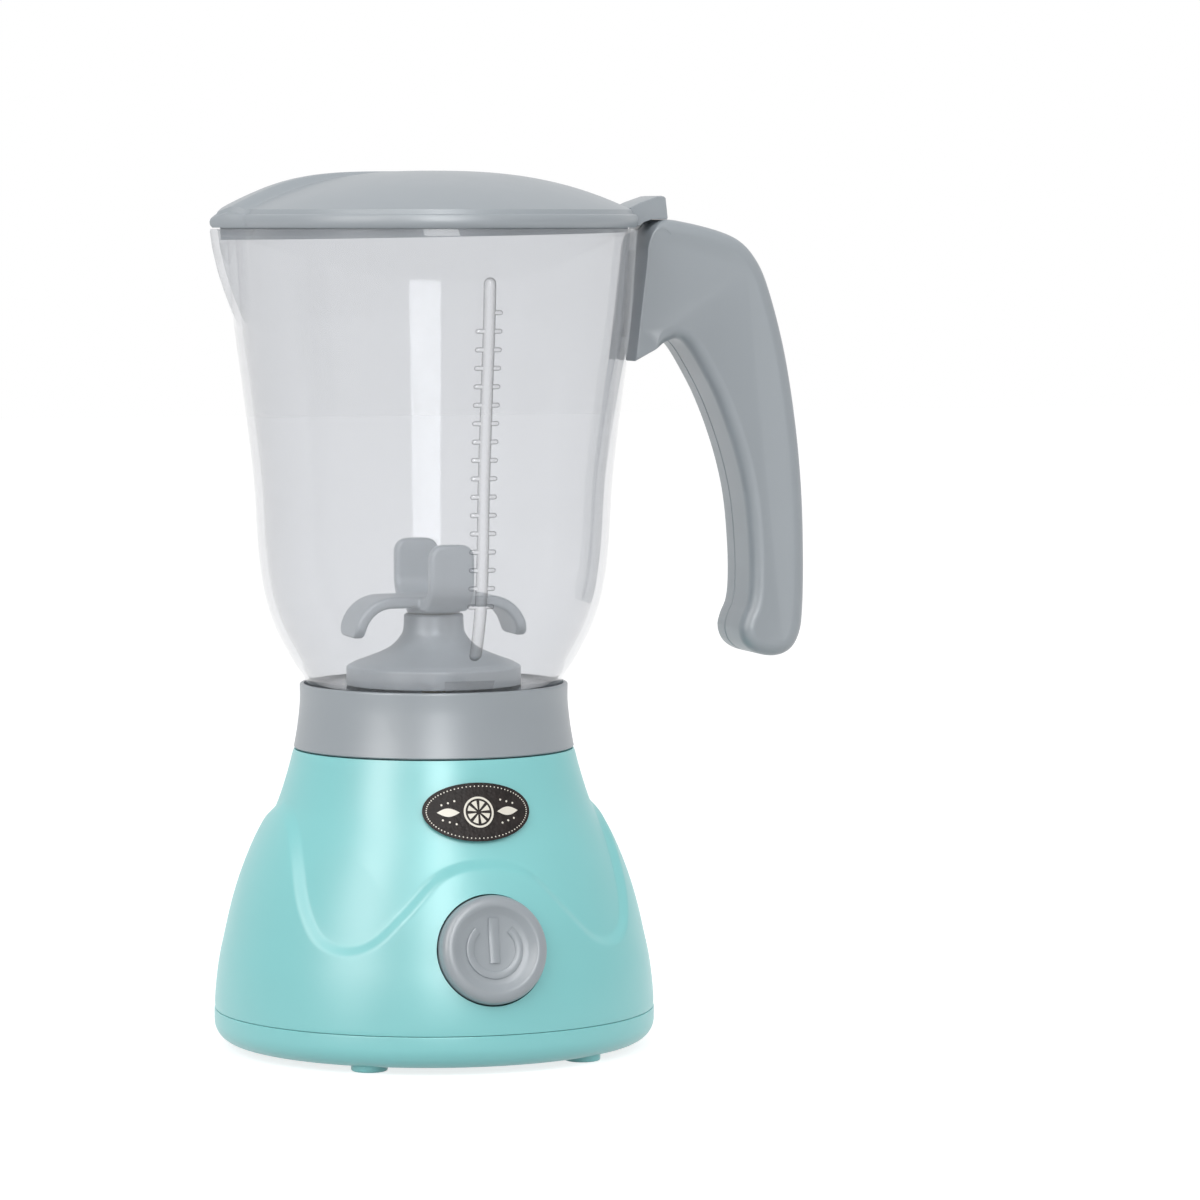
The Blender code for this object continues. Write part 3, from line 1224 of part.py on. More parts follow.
def make_blade_base(parent):
    """Gray cone on the jar's floor, its bush and the three screws that hold it."""
    low, top = BLADE_BASE_LOW, BLADE_BASE_TOP
    rim, neck, wall = BLADE_BASE_RADIUS, BLADE_NECK_RADIUS, BLADE_BASE_WALL
    rim_top = low + BLADE_BASE_RIM
    rise = top - rim_top
    span = rim - neck
    outer = [(rim, low), (rim, rim_top), (rim - span * 0.05, rim_top + rise * 0.08)]
    outer += [
        (neck + span * radius, rim_top + rise * height)
        for radius, height in ((0.68, 0.16), (0.36, 0.3), (0.12, 0.47), (0.01, 0.65))
    ]
    outer.append((neck, top))
    bore = BUSH_RADIUS + PRESS_FIT
    solid_low = rim_top + rise * 0.25
    inner = [(bore, top), (bore, solid_low), (neck, solid_low)]
    inner += [(rim - wall, rim_top - wall / 2), (rim - wall, low)]
    base = to_object("blade_base", lathe(outer + inner, MIDDLE_SIDES, closed=True))
    places = blade_screw_places()
    join(base, *[rod(BLADE_POST_RADIUS, low, rim_top + wall / 4, PIN_SIDES, place) for place in places])
    pilot = GEARBOX_SCREW_RADIUS + GAP
    depth = low + BLADE_SCREW_BITE + GAP
    cut(base, *[rod(pilot, low - OVERRUN, depth, PIN_SIDES, place) for place in places])
    finish(base, "gray_plastic", parent)
    seat = JAR_FLOOR_UNDER - GAP
    for index, place in enumerate(places, 1):
        length = low + BLADE_SCREW_BITE - seat
        mesh = screw_mesh(GEARBOX_SCREW_HEAD_RADIUS, SCREW_HEAD, GEARBOX_SCREW_RADIUS, length)
        lift = Matrix.Translation((place[0], place[1], seat))
        piece(f"blade_screw_{index}", moved(mesh, lift), "steel", parent)
    bush = tube(BUSH_RADIUS, SHAFT_RADIUS + SHAFT_FIT, JAR_FLOOR_UNDER - GAP / 2, top - GAP, PIN_SIDES)
    piece("rotor_bush", bush, "brass", parent)


def star_outline(grow):
    """Six-lobed outline of the coupling."""
    count = COUPLING_LOBES * 6
    outline = []
    for index in range(count):
        turn = math.tau * index / count
        radius = COUPLING_STAR_RADIUS + grow + COUPLING_LOBE_DEPTH * math.cos(COUPLING_LOBES * turn)
        outline.append((radius * math.cos(turn), radius * math.sin(turn)))
    return outline


def strip_mesh(path, thickness, width, along_x):
    """A strip bent alike at both ends, along a path of (out, height) points, with rounded corners."""
    points = [(-out, height) for out, height in reversed(path)] + list(path)
    rings = []
    last = len(points) - 1
    travelled = [0.0]
    for low, high in zip(points, points[1:]):
        travelled.append(travelled[-1] + math.hypot(high[0] - low[0], high[1] - low[1]))
    for index, (out, height) in enumerate(points):
        before, after = points[max(index - 1, 0)], points[min(index + 1, last)]
        slope = Vector((after[0] - before[0], after[1] - before[1])).normalized()
        side = Vector((-slope.y, slope.x)) * (thickness / 2)
        to_end = min(travelled[index], travelled[-1] - travelled[index])
        left = max(BLADE_CORNER - to_end, 0.0)
        half = width / 2 - BLADE_CORNER + math.sqrt(max(BLADE_CORNER ** 2 - left ** 2, 0.0))
        soft = thickness * 0.18
        corner_list = []
        for across, up in ((-half, -1), (half, -1), (half, 1), (-half, 1)):
            inset = across * (1 - soft / half)
            pair = ((inset, up), (across, up * (1 - 2 * soft / thickness)))
            corner_list += pair[::-1] if across * up > 0 else pair
        ring = []
        for across, up in corner_list:
            far, tall = out + side.x * up, height + side.y * up
            ring.append(Vector((far, across, tall)) if along_x else Vector((across, far, tall)))
        rings.append(ring)
    return skin(rings)


def bent_path(reach, level, rise, bend):
    """Half of a strip's path: level, then up or down round a quarter bend to its end."""
    way = 1 if rise > 0 else -1
    path = []
    for step in range(6):
        turn = math.pi / 2 * step / 5
        path.append((reach - bend + bend * math.sin(turn), level + way * bend * (1 - math.cos(turn))))
    straight = abs(rise) - bend
    corner = min(BLADE_CORNER, straight)
    path += [
        (reach, level + way * (bend + straight - corner * (1 - math.sin(turn))))
        for turn in (math.pi / 2 * step / 3 for step in range(4))
        if straight - corner * (1 - math.sin(turn)) > GAP
    ]
    return path


def make_rotor(parent):
    """Blade rotor with two arms bent down and two paddles bent up, its shaft and coupling."""
    level = HUB_TOP - ARM_THICKNESS / 2
    arm = bent_path(ARM_REACH - ARM_THICKNESS / 2, level, -ARM_DROP + ARM_THICKNESS / 2, ARM_BEND)
    rotor = to_object("blade_rotor", strip_mesh(arm, ARM_THICKNESS, ARM_WIDTH, True))
    paddle_level = HUB_TOP - PADDLE_THICKNESS / 2 - GAP
    rise = PADDLE_RISE - ROTOR_HUB + PADDLE_THICKNESS / 2
    paddle = bent_path(PADDLE_REACH - PADDLE_THICKNESS / 2, paddle_level, rise, PADDLE_BEND)
    hub = rod(ROTOR_HUB_RADIUS, HUB_LOW, level)
    join(rotor, hub, strip_mesh(paddle, PADDLE_THICKNESS, PADDLE_WIDTH, False))
    shaft_top = level
    cut(rotor, rod(SHAFT_RADIUS + PRESS_FIT, HUB_LOW - OVERRUN, shaft_top + GAP, PIN_SIDES))
    finish(rotor, "gray_plastic", parent)
    cavity_top = COUPLING_TOP - COUPLING_HUB
    shaft_low = cavity_top + GAP
    piece("rotor_shaft", rod(SHAFT_RADIUS, shaft_low, shaft_top, PIN_SIDES), "steel", parent)
    cup = to_object("driven_coupling", rod(COUPLING_RADIUS, CUP_LOW, COUPLING_TOP, MIDDLE_SIDES))
    cut(
        cup,
        prism(star_outline(COUPLING_CLEARANCE), CUP_LOW - OVERRUN, cavity_top),
        rod(SHAFT_RADIUS + PRESS_FIT, cavity_top - OVERRUN, COUPLING_TOP + OVERRUN, PIN_SIDES),
    )
    finish(cup, "white_plastic", parent)


# Lid


def lid_height(x, y):
    """Height of the lid's top: a dome, with a ridge that widens toward the spout."""
    radius = math.hypot(x, y)
    dome = LID_TOP - LID_RISE * (radius / JAR_RIM_RADIUS) ** LID_DOME_POWER
    if x >= -RIDGE_START:
        return dome
    run = (-x - RIDGE_START) / (JAR_RIM_RADIUS - RIDGE_START)
    half = SPOUT_HALF_WIDTH * min(run, 1.0)
    flank = 1 - soft_step((abs(y) / half - RIDGE_FLANK_SHARE + 0.35) / 0.65) if half > 0 else 0.0
    return dome + RIDGE_HEIGHT * soft_step(run * 1.25) * flank


def make_lid(parent):
    """Domed lid with a spout ridge, an edge band, a plug skirt and a thumb tab."""
    angles = jar_angles()

    def ring(radius, height, reach=0.0):
        """A ring whose height follows X, standing out at the spout by a share of its reach."""
        points = []
        for angle in angles:
            out = radius + spout_lift(angle, 1.0) * reach
            x, y = out * math.cos(angle), out * math.sin(angle)
            points.append(Vector((x, y, height(x))))
        return points

    def top(share, drop=0.0):
        points = []
        for angle in angles:
            out = (JAR_RIM_RADIUS + spout_lift(angle, 1.0)) * share
            x, y = out * math.cos(angle), out * math.sin(angle)
            points.append(Vector((x, y, lid_height(x, y) - drop)))
        return points

    def dome_under(share):
        radius = JAR_RIM_RADIUS * share
        height = LID_TOP - LID_RISE * share ** LID_DOME_POWER - LID_WALL
        return [Vector((radius * math.cos(angle), radius * math.sin(angle), height)) for angle in angles]

    plug = JAR_RIM_RADIUS - JAR_WALL - LID_PLUG_CLEARANCE
    plug_share = (plug - LID_PLUG_WALL) / JAR_RIM_RADIUS

    def plug_low(x):
        return LID_LOW - LID_PLUG_LOW + LID_PLUG_TILT * (x + plug) / (2 * plug)

    edge_share = 1 - LID_ROUND / JAR_RIM_RADIUS
    rings = [[Vector((0, 0, LID_TOP))]]
    rings += [top(share) for share in (0.25, 0.48, 0.68, 0.85)]
    rings += [top(edge_share), top(1.0, LID_ROUND)]
    rings += [
        ring(JAR_RIM_RADIUS, lambda x: LID_LOW, 1.0),
        ring(plug, lambda x: LID_LOW),
        ring(plug, plug_low),
        ring(plug - LID_PLUG_WALL, plug_low),
    ]
    rings += [dome_under(share) for share in (plug_share, 0.65, 0.35)]
    rings.append([Vector((0, 0, LID_TOP - LID_WALL))])
    lid = to_object("lid", skin(rings))

    rim = JAR_RIM_RADIUS
    low = LID_LOW + GAP
    high = LID_LOW + THUMB_TAB_RISE
    root = rim - LID_PLUG_WALL
    over_handle = JAR_RIM + HANDLE_TOP + 2 * GAP
    outline = (
        (root, low),
        (root, LID_EDGE + LID_ROUND),
        (rim + THUMB_TAB_REACH * 0.65, high),
        (rim + THUMB_TAB_REACH * 0.86, high - LID_ROUND * 0.6),
        (rim + THUMB_TAB_REACH, over_handle + GAP),
        (rim + THUMB_TAB_REACH * 0.62, over_handle),
        (rim + THUMB_TAB_REACH * 0.34, over_handle - THUMB_TAB_WEB * 0.55),
        (rim + GAP * 3, low - THUMB_TAB_WEB * 0.9),
        (rim + GAP, low - THUMB_TAB_WEB * 0.9),
        (rim + GAP, low),
    )
    join(lid, side_prism(outline, -THUMB_TAB_WIDTH / 2, THUMB_TAB_WIDTH / 2))
    return finish(lid, "gray_plastic", parent)


# Handle


def handle_points():
    """The handle's side outline, as (x, z) pairs."""
    return [Vector((HANDLE_X + x * HANDLE_DEPTH, HANDLE_LOW + z * HANDLE_LENGTH)) for x, z in HANDLE_SHARES]


def inset_loop(points, distances):
    """The outline drawn in, square to itself, by a distance for each point."""
    count = len(points)
    area = sum(
        points[i - 1][0] * points[i][1] - points[i][0] * points[i - 1][1] for i in range(count)
    )
    way = 1 if area > 0 else -1
    result = []
    for index in range(count):
        before, here, after = (points[(index + step) % count] for step in (-1, 0, 1))
        first, second = (here - before).normalized(), (after - here).normalized()
        inward = (Vector((-first.y, first.x)) + Vector((-second.y, second.x))).normalized() * way
        spread = max(inward.dot(Vector((-first.y, first.x)) * way), 0.5)
        result.append(here + inward * (distances[index] / spread))
    return result


def handle_half(name, side, parent):
    """One half shell. side is -1 for the near half and 1 for the far one."""
    face = side * HANDLE_THICKNESS / 2
    seam = HANDLE_SEAM + side * GAP / 2
    outline = handle_points()
    end_x = handle_edge(HANDLE_LOW + HANDLE_LENGTH * 0.8) + HANDLE_FILLET
    fillets = [
        HANDLE_FILLET * (0.12 + 0.88 * soft_step((point.x - end_x) / HANDLE_FILLET)) for point in outline
    ]
    rings = [[Vector((point.x, seam, point.y)) for point in outline]]
    for turn in (0, math.pi / 5, math.pi / 2):
        drawn = inset_loop(outline, [fillet * (1 - math.cos(turn)) for fillet in fillets])
        rings.append([
            Vector((point.x, face - side * fillet * (1 - math.sin(turn)), point.y))
            for point, fillet in zip(drawn, fillets)
        ])
    half = to_object(name, skin(rings))
    inner = inset_loop(handle_points(), [HANDLE_WALL] * len(HANDLE_SHARES))
    hollow = [tuple(point) for point in inner]
    cavity = side_prism(hollow, face - side * HANDLE_WALL, HANDLE_SEAM - side * OVERRUN)
    cut(half, cavity)

    upright = Matrix.Rotation(math.pi / 2, 4, "X")
    places = handle_screw_places()
    boss_radius = HANDLE_BOSS_RADIUS if side > 0 else HANDLE_SCREW_RADIUS + GAP + HANDLE_WALL / 2
    join(half, *[
        moved(rod(boss_radius, *sorted((-seam, -face + side * HANDLE_WALL / 2)), PIN_SIDES),
              Matrix.Translation((x, 0, z)) @ upright)
        for x, z in places
    ])
    hole_radius = HANDLE_SCREW_RADIUS + GAP
    tip = HANDLE_SEAM - HANDLE_SCREW_BITE - 2 * GAP
    holes = []
    for x, z in places:
        at = Matrix.Translation((x, 0, z)) @ upright
        if side > 0:
            holes.append(moved(rod(hole_radius, -face - OVERRUN, -HANDLE_SEAM + OVERRUN, PIN_SIDES), at))
            sink = -face + HANDLE_SCREW_SINK
            holes.append(moved(rod(HANDLE_SCREW_HEAD_RADIUS + GAP, -face - OVERRUN, sink, PIN_SIDES), at))
        else:
            holes.append(moved(rod(hole_radius, -HANDLE_SEAM - OVERRUN, -tip, PIN_SIDES), at))
    holes.append(rail_slot())
    cut(half, *holes)
    return finish(half, "gray_plastic", parent)


def rail_slot():
    """Slot in the handle's end wall for the rail's neck, open at the seam."""
    low, high = JAR_LOW + RAIL_LOW - GAP, JAR_LOW + RAIL_HIGH + GAP
    near, far = -HANDLE_WALL, HANDLE_WALL + GAP
    outline = (
        (handle_edge(low) + near, low), (handle_edge(low) + far, low),
        (handle_edge(high) + far, high), (handle_edge(high) + near, high),
    )
    return side_prism(outline, -RAIL_NECK - GAP, HANDLE_SEAM + OVERRUN / 2)


def handle_screw_places():
    return [(HANDLE_X + x * HANDLE_DEPTH, HANDLE_LOW + z * HANDLE_LENGTH) for x, z in HANDLE_SCREW_SHARES]


def make_handle(parent):
    handle_half("handle_near_half", -1, parent)
    handle_half("handle_far_half", 1, parent)
    face = HANDLE_THICKNESS / 2
    seat = face - HANDLE_SCREW_SINK + GAP
    length = seat - HANDLE_SEAM + HANDLE_SCREW_BITE
    upright = Matrix.Rotation(math.pi / 2, 4, "X")
    for index, (x, z) in enumerate(handle_screw_places(), 1):
        mesh = screw_mesh(HANDLE_SCREW_HEAD_RADIUS, HANDLE_SCREW_HEAD, HANDLE_SCREW_RADIUS, length)
        place = Matrix.Translation((x, seat, z)) @ upright
        piece(f"handle_screw_{index}", moved(mesh, place), "steel", parent)


# Wires


def make_wire(name, route, finish_name, parent):
    """An insulated wire along a smooth curve through its route."""
    points = [Vector(point) for point in route]
    padded = [points[0]] + points + [points[-1]]
    line = []
    for index in range(1, len(padded) - 2):
        before, here, after, later = padded[index - 1:index + 3]
        for step in range(WIRE_STEPS):
            t = step / WIRE_STEPS
            line.append(0.5 * (
                2 * here + (after - before) * t + (2 * before - 5 * here + 4 * after - later) * t ** 2
                + (3 * here - before - 3 * after + later) * t ** 3
            ))
    line.append(points[-1])
    curve = bpy.data.curves.new(name, "CURVE")
    curve.dimensions = "3D"
    curve.bevel_depth = WIRE_RADIUS
    curve.bevel_resolution = 1
    curve.use_fill_caps = True
    spline = curve.splines.new("POLY")
    spline.points.add(len(line) - 1)
    for place, point in zip(spline.points, line):
        place.co = (*point, 1.0)
    made = bpy.data.objects.new(name, curve)
    bpy.context.scene.collection.objects.link(made)
    curve.materials.append(material(finish_name))
    made.parent = parent


def make_wires(parent):
    """Three wires that close the circuit of cells, switch and motor."""
    near = BAY_HALF_LENGTH - GAP - CONTACT_THICKNESS / 2
    tab_top = BAY_ROOF_TOP + TAB_LENGTH + GAP
    lift = 2 * MOTOR_CAP
    back = button_matrix() @ Vector((0, 0, switch_front() - SWITCH_LENGTH))
    beside = SWITCH_WIDTH / 2 + WIRE_RADIUS + GAP
    above = back.z + SWITCH_HEIGHT / 4
    terminal = MOTOR_WIDTH / 4
    under = MOTOR_LOW - MOTOR_CAP - 2 * GAP
    drop = (BAY_ROOF_TOP + under) / 2
    make_wire("wire_cell_to_switch", (
        (near, -CELL_Y, tab_top),
        (near, -CELL_Y, tab_top + lift),
        (near * 0.85, -CELL_Y * 1.8, tab_top + lift * 1.3),
        (near * 0.6, -CELL_Y * 2.9, above + lift * 1.2),
        (beside * 1.35, back.y - SWITCH_LENGTH * 0.4, above + lift * 0.3),
        (beside, back.y - SWITCH_LENGTH * 0.45, above),
    ), "wire_red", parent)
    make_wire("wire_switch_to_motor", (
        (-beside, back.y - SWITCH_LENGTH * 0.45, above),
        (-beside * 1.5, back.y - SWITCH_LENGTH * 0.3, above + lift * 0.4),
        (-near * 0.72, -CELL_Y * 2, above + lift * 0.8),
        (-near * 0.75, 0, drop + lift * 0.6),
        (-near * 0.62, SHAFT_DISTANCE * 0.7, drop + lift * 0.2),
        (-terminal * 2, SHAFT_DISTANCE, drop),
        (-terminal * 1.2, SHAFT_DISTANCE, drop + WIRE_RADIUS / 2),
        (-terminal, SHAFT_DISTANCE, under),
    ), "wire_red", parent)
    make_wire("wire_motor_to_cell", (
        (terminal, SHAFT_DISTANCE, under),
        (terminal * 1.2, SHAFT_DISTANCE, drop + WIRE_RADIUS / 2),
        (terminal * 2, SHAFT_DISTANCE, drop),
        (near * 0.62, SHAFT_DISTANCE * 0.8, drop + lift * 0.2),
        (near * 0.95, CELL_Y * 1.1, tab_top + lift * 0.5),
        (near, CELL_Y, tab_top),
    ), "wire_black", parent)


def main():
    clear_scene()
    axis_y = (button_reach() - BASE_RADIUS) / 2
    base = empty("base_body", (AXIS_X, axis_y, 0))
    button = empty("button_body", parent=base)
    button.matrix_local = button_matrix()
    door = empty("door_body", (-DOOR_HALF_LENGTH, 0, FOOT_HEIGHT), base)
    drive = empty("drive_body", parent=base)
    motor = empty("motor_body", (0, SHAFT_DISTANCE, 0), base)
    jar = empty("jar_frame", parent=base)
    rotor = empty("rotor_frame", parent=jar)
    lid = empty("lid_frame", parent=jar)
    make_base_shell(base)
    make_bottom_cover(base)
    make_cover_screws(base)
    make_collar(base)
    make_badge(base)
    make_switch(base)
    make_cells(base)
    make_contacts(base)
    make_motor(base)
    make_gearbox(base)
    make_wires(base)
    make_button(button)
    make_door(door)
    make_drive(drive)
    make_pinion(motor)
    make_jar(jar)
    make_blade_base(jar)
    make_handle(jar)
    make_rotor(rotor)
    make_lid(lid)


main()
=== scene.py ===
"""Looks of a toy blender: fine meshes and finishes round its packed model, and a stage to see it on.

The file is laid out as an add-on. Every piece has an operator, and the sizes and colours that
someone would change are properties of the scene. Run as a script it makes everything in order.
Pieces are built round the blender's own upright axis, with the button to the front at -Y, the
spout at -X and the handle at +X, and are then set down where the packed model has them.
"""

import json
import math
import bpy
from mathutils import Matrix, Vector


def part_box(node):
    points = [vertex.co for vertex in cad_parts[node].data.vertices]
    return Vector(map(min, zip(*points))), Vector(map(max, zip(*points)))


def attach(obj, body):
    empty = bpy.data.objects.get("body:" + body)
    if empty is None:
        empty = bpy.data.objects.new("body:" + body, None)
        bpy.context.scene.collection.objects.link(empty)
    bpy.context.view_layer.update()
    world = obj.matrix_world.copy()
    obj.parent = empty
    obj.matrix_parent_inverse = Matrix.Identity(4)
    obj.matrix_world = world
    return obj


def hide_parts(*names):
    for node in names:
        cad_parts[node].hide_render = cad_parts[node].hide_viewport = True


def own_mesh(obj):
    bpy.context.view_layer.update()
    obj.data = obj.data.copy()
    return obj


bl_info = {
    "name": "Toy blender looks",
    "version": (1, 0, 0),
    "blender": (4, 5, 0),
    "location": "3D View > Sidebar > Toy Blender",
    "description": "Builds the fine meshes, finishes and stage of a toy blender",
    "category": "Object",
}

import bmesh
import bpy
from bpy.props import FloatProperty, FloatVectorProperty, IntProperty, PointerProperty
from bpy.types import Operator, Panel, PropertyGroup
from mathutils import Matrix, Vector

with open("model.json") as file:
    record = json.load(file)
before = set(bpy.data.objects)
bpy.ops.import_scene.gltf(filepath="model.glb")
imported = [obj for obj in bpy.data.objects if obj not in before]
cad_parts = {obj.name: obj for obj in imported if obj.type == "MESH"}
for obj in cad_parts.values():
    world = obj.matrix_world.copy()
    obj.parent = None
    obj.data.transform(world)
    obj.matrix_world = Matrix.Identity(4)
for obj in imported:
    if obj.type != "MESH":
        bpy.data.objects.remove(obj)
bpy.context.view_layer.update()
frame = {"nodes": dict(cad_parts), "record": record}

MM = 0.001
QUARTER = math.pi / 2
CORNER_SIGNS = ((1, 1), (-1, 1), (-1, -1), (1, -1))
GAP = 0.3 * MM
OVERRUN = 2.0 * MM

COLLAR_LOW, COLLAR_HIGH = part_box("collar")
COVER_LOW, COVER_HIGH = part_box("bottom_cover")
SHELL_LOW, SHELL_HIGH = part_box("base_shell")
JAR_LOW, JAR_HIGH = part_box("jar_body")
LID_LOW, LID_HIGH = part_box("lid")
BLADE_BASE_LOW, BLADE_BASE_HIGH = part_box("blade_base")
ROTOR_LOW, ROTOR_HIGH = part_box("blade_rotor")
HANDLE_NEAR_LOW, HANDLE_NEAR_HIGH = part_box("handle_near_half")
DOOR_LOW, DOOR_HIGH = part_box("battery_door")
DRIVE_LOW, DRIVE_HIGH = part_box("drive_coupling")
DRIVEN_LOW, DRIVEN_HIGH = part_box("driven_coupling")

# The blender's upright axis
AXIS = Vector(((COLLAR_LOW.x + COLLAR_HIGH.x) / 2, (COLLAR_LOW.y + COLLAR_HIGH.y) / 2, 0))

# Share of the way up the base, and share of the way from its top radius to its foot radius, for
# the raised skirt and for the body that the skirt stands on
SKIRT_SHARES = (
    (0.13, 1.0), (0.21, 0.98), (0.30, 0.936), (0.38, 0.872), (0.46, 0.805),
    (0.54, 0.722), (0.62, 0.617), (0.70, 0.49), (0.76, 0.372), (0.82, 0.25), (1.0, 0.09),
)
BODY_SHARES = (
    (0.13, 0.955), (0.21, 0.932), (0.30, 0.875), (0.38, 0.812), (0.46, 0.74),
    (0.54, 0.645), (0.62, 0.535), (0.70, 0.405), (0.76, 0.30), (0.82, 0.2), (0.91, 0.09), (1.0, 0.0),
)
# Share of a quarter turn from front to side, and the skirt's upper edge as a share of the height
WAVE_SHARES = (
    (0.0, 0.67), (0.08, 0.663), (0.17, 0.625), (0.28, 0.505), (0.36, 0.424), (0.43, 0.396),
    (0.5, 0.403), (0.56, 0.44), (0.62, 0.52), (0.7, 0.655), (0.78, 0.745), (0.87, 0.795), (1.0, 0.815),
)
# Share of the jar's height, and share of the way from its foot radius to its rim radius
JAR_SHARES = (
    (0.0, 0.0), (0.056, 0.0), (0.1, 0.165), (0.17, 0.39), (0.24, 0.53), (0.33, 0.61),
    (0.48, 0.667), (0.66, 0.798), (0.81, 0.918), (0.90, 0.96), (1.0, 1.0),
)
# The handle's side outline, as shares of its depth and length
HANDLE_SHARES = (
    (0.005, 0.679), (0.036, 0.789), (0.068, 0.900), (0.078, 0.941), (0.114, 0.9755), (0.191, 0.998),
    (0.317, 0.9925), (0.510, 0.9725), (0.633, 0.948), (0.72, 0.908), (0.784, 0.852), (0.861, 0.743),
    (0.916, 0.633), (0.9635, 0.495), (0.991, 0.3585), (1.0, 0.2195), (0.9955, 0.109), (0.977, 0.052),
    (0.9225, 0.014), (0.829, 0.0), (0.7175, 0.0085), (0.649, 0.030), (0.624, 0.0615), (0.640, 0.092),
    (0.670, 0.122), (0.683, 0.169), (0.679, 0.2545), (0.6515, 0.368), (0.590, 0.474), (0.494, 0.581),
    (0.3985, 0.6575), (0.3165, 0.7105), (0.262, 0.7275), (0.207, 0.723), (0.100, 0.700),
)
HANDLE_SCREW_SHARES = ((0.30, 0.86), (0.74, 0.62), (0.84, 0.16))


def length(name, description, default):
    return FloatProperty(
        name=name, description=description, default=default, min=0, unit="LENGTH", precision=5
    )


def colour(name, description, default):
    return FloatVectorProperty(
        name=name, description=description, default=default, size=3, min=0, max=1, subtype="COLOR"
    )


class ToyBlenderFinish(PropertyGroup):
    """Colours and roughness of the finishes"""

    mint: colour("Mint", "Mint plastic of the base", (0.228, 0.64, 0.645))
    gray: colour("Gray", "Gray plastic of collar, button, blades, lid and handle", (0.312, 0.346, 0.375))
    # Painted light: the blades are the same gray plastic, made lighter here to stand in for the stronger
    # light on them inside the jar.
    blade: colour("Blade gray", "Lighter gray plastic of the blades and their base", (0.50, 0.54, 0.57))
    clear: colour("Clear", "Tint of the jar's clear plastic", (0.91, 0.915, 0.925))
    leather: colour("Badge", "Leather look of the badge", (0.014, 0.010, 0.009))
    cream: colour("Badge print", "Line work on the badge", (0.82, 0.78, 0.68))
    natural: colour("Natural plastic", "Unpainted plastic of the gears and couplings", (0.74, 0.73, 0.69))
    sleeve: colour("Cell sleeve", "Printed sleeve of the cells, left plain", (0.02, 0.10, 0.06))
    satin: FloatProperty(
        name="Satin", description="Roughness of the coloured plastics",
        default=0.33, min=0, max=1, subtype="FACTOR",
    )


class ToyBlenderBase(PropertyGroup):
    """Sizes of the base"""

    radius: length("Foot radius", "Radius of the base at its foot", (COVER_HIGH.x - COVER_LOW.x) / 2)
    top_radius: length(
        "Top radius", "Radius of the base under the collar", (COLLAR_HIGH.x - COLLAR_LOW.x) / 2
    )
    height: length("Height", "Height of the base without its collar", COLLAR_LOW.z)
    relief: length("Relief edge", "Half width of the wave's soft edge", 1.5 * MM)
    wall: length("Wall", "Wall thickness of the shell", 1.6 * MM)
    edge: length("Lower edge", "Radius of the rounded edge under the base", 5.0 * MM)
    sides: IntProperty(
        name="Sides", description="Columns round the base and collar", default=240, min=24, max=720
    )


class ToyBlenderButton(PropertyGroup):
    """Sizes of the power button and the badge"""

    radius: length("Button radius", "Radius of the button's cap", 12.7 * MM)
    height: length("Button height", "Height of the button's middle on the base", 29.0 * MM)
    tilt: FloatProperty(
        name="Tilt", description="How far the button looks up", default=math.radians(11.7), subtype="ANGLE"
    )
    symbol: length("Symbol radius", "Outer radius of the raised power symbol", 6.85 * MM)
    symbol_rise: length("Symbol rise", "How far the symbol stands out of the dish", 0.4 * MM)
    badge_width: length("Badge width", "Width of the oval badge along the base", 25.9 * MM)
    badge_height: length("Badge height", "Height of the oval badge", 13.2 * MM)
    badge_centre: length("Badge centre", "Height of the badge's middle", 59.9 * MM)


class ToyBlenderJar(PropertyGroup):
    """Sizes of the jar and what stands in it"""

    foot_radius: length("Foot radius", "Radius of the jar's foot", 30.6 * MM)
    rim_radius: length("Rim radius", "Radius of the jar's rim", LID_HIGH.y - AXIS.y)
    wall: length("Wall", "Wall thickness of the jar", 1.9 * MM)
    spout_half_width: length("Spout width", "Half width of the spout along the rim", 8.5 * MM)
    spout_length: length("Spout length", "How far down the wall the spout runs", 23.5 * MM)
    rib_radius: length("Rib radius", "Radius of the measuring rib", 1.55 * MM)
    tick_pitch: length("Tick pitch", "Height from one measuring tick to the next", 4.27 * MM)
    tick_length: length("Tick length", "How far a tick stands beside the rib", 2.3 * MM)
    tick_radius: length("Tick radius", "Radius of a tick's rounded bar", 0.6 * MM)
    ticks: IntProperty(
        name="Ticks", description="Ticks on the side with more of them", default=17, min=0, max=30
    )


class ToyBlenderTop(PropertyGroup):
    """Sizes of the lid and handle"""

    ridge: length("Ridge", "Height of the lid's ridge over the spout", 2.3 * MM)
    lid_wall: length("Lid wall", "Wall thickness of the lid", 1.8 * MM)
    handle_fillet: length("Handle fillet", "Radius of the handle's rounded edges", 3.4 * MM)
    handle_thickness: length("Handle thickness", "Width of the handle across its two halves", 21.6 * MM)


class ToyBlenderStage(PropertyGroup):
    """Camera and light"""

    camera_azimuth: FloatProperty(
        name="Camera azimuth", description="Camera's turn from the front toward the handle's side",
        default=math.radians(-15.8), subtype="ANGLE",
    )
    camera_distance: length(
        "Camera distance", "Level distance from the blender's axis to the camera", 1278 * MM
    )
    camera_height: length("Camera height", "Height of the camera above the floor", 197.6 * MM)
    lens: FloatProperty(name="Lens", description="Focal length on a 36 mm wide sensor, in mm", default=160.5)
    light: FloatProperty(
        name="Room light", description="Strength of the even light round the set", default=0.56
    )
    lamps: FloatProperty(
        name="Lamps", description="Strength of the soft boxes, as a share of their own", default=1
    )


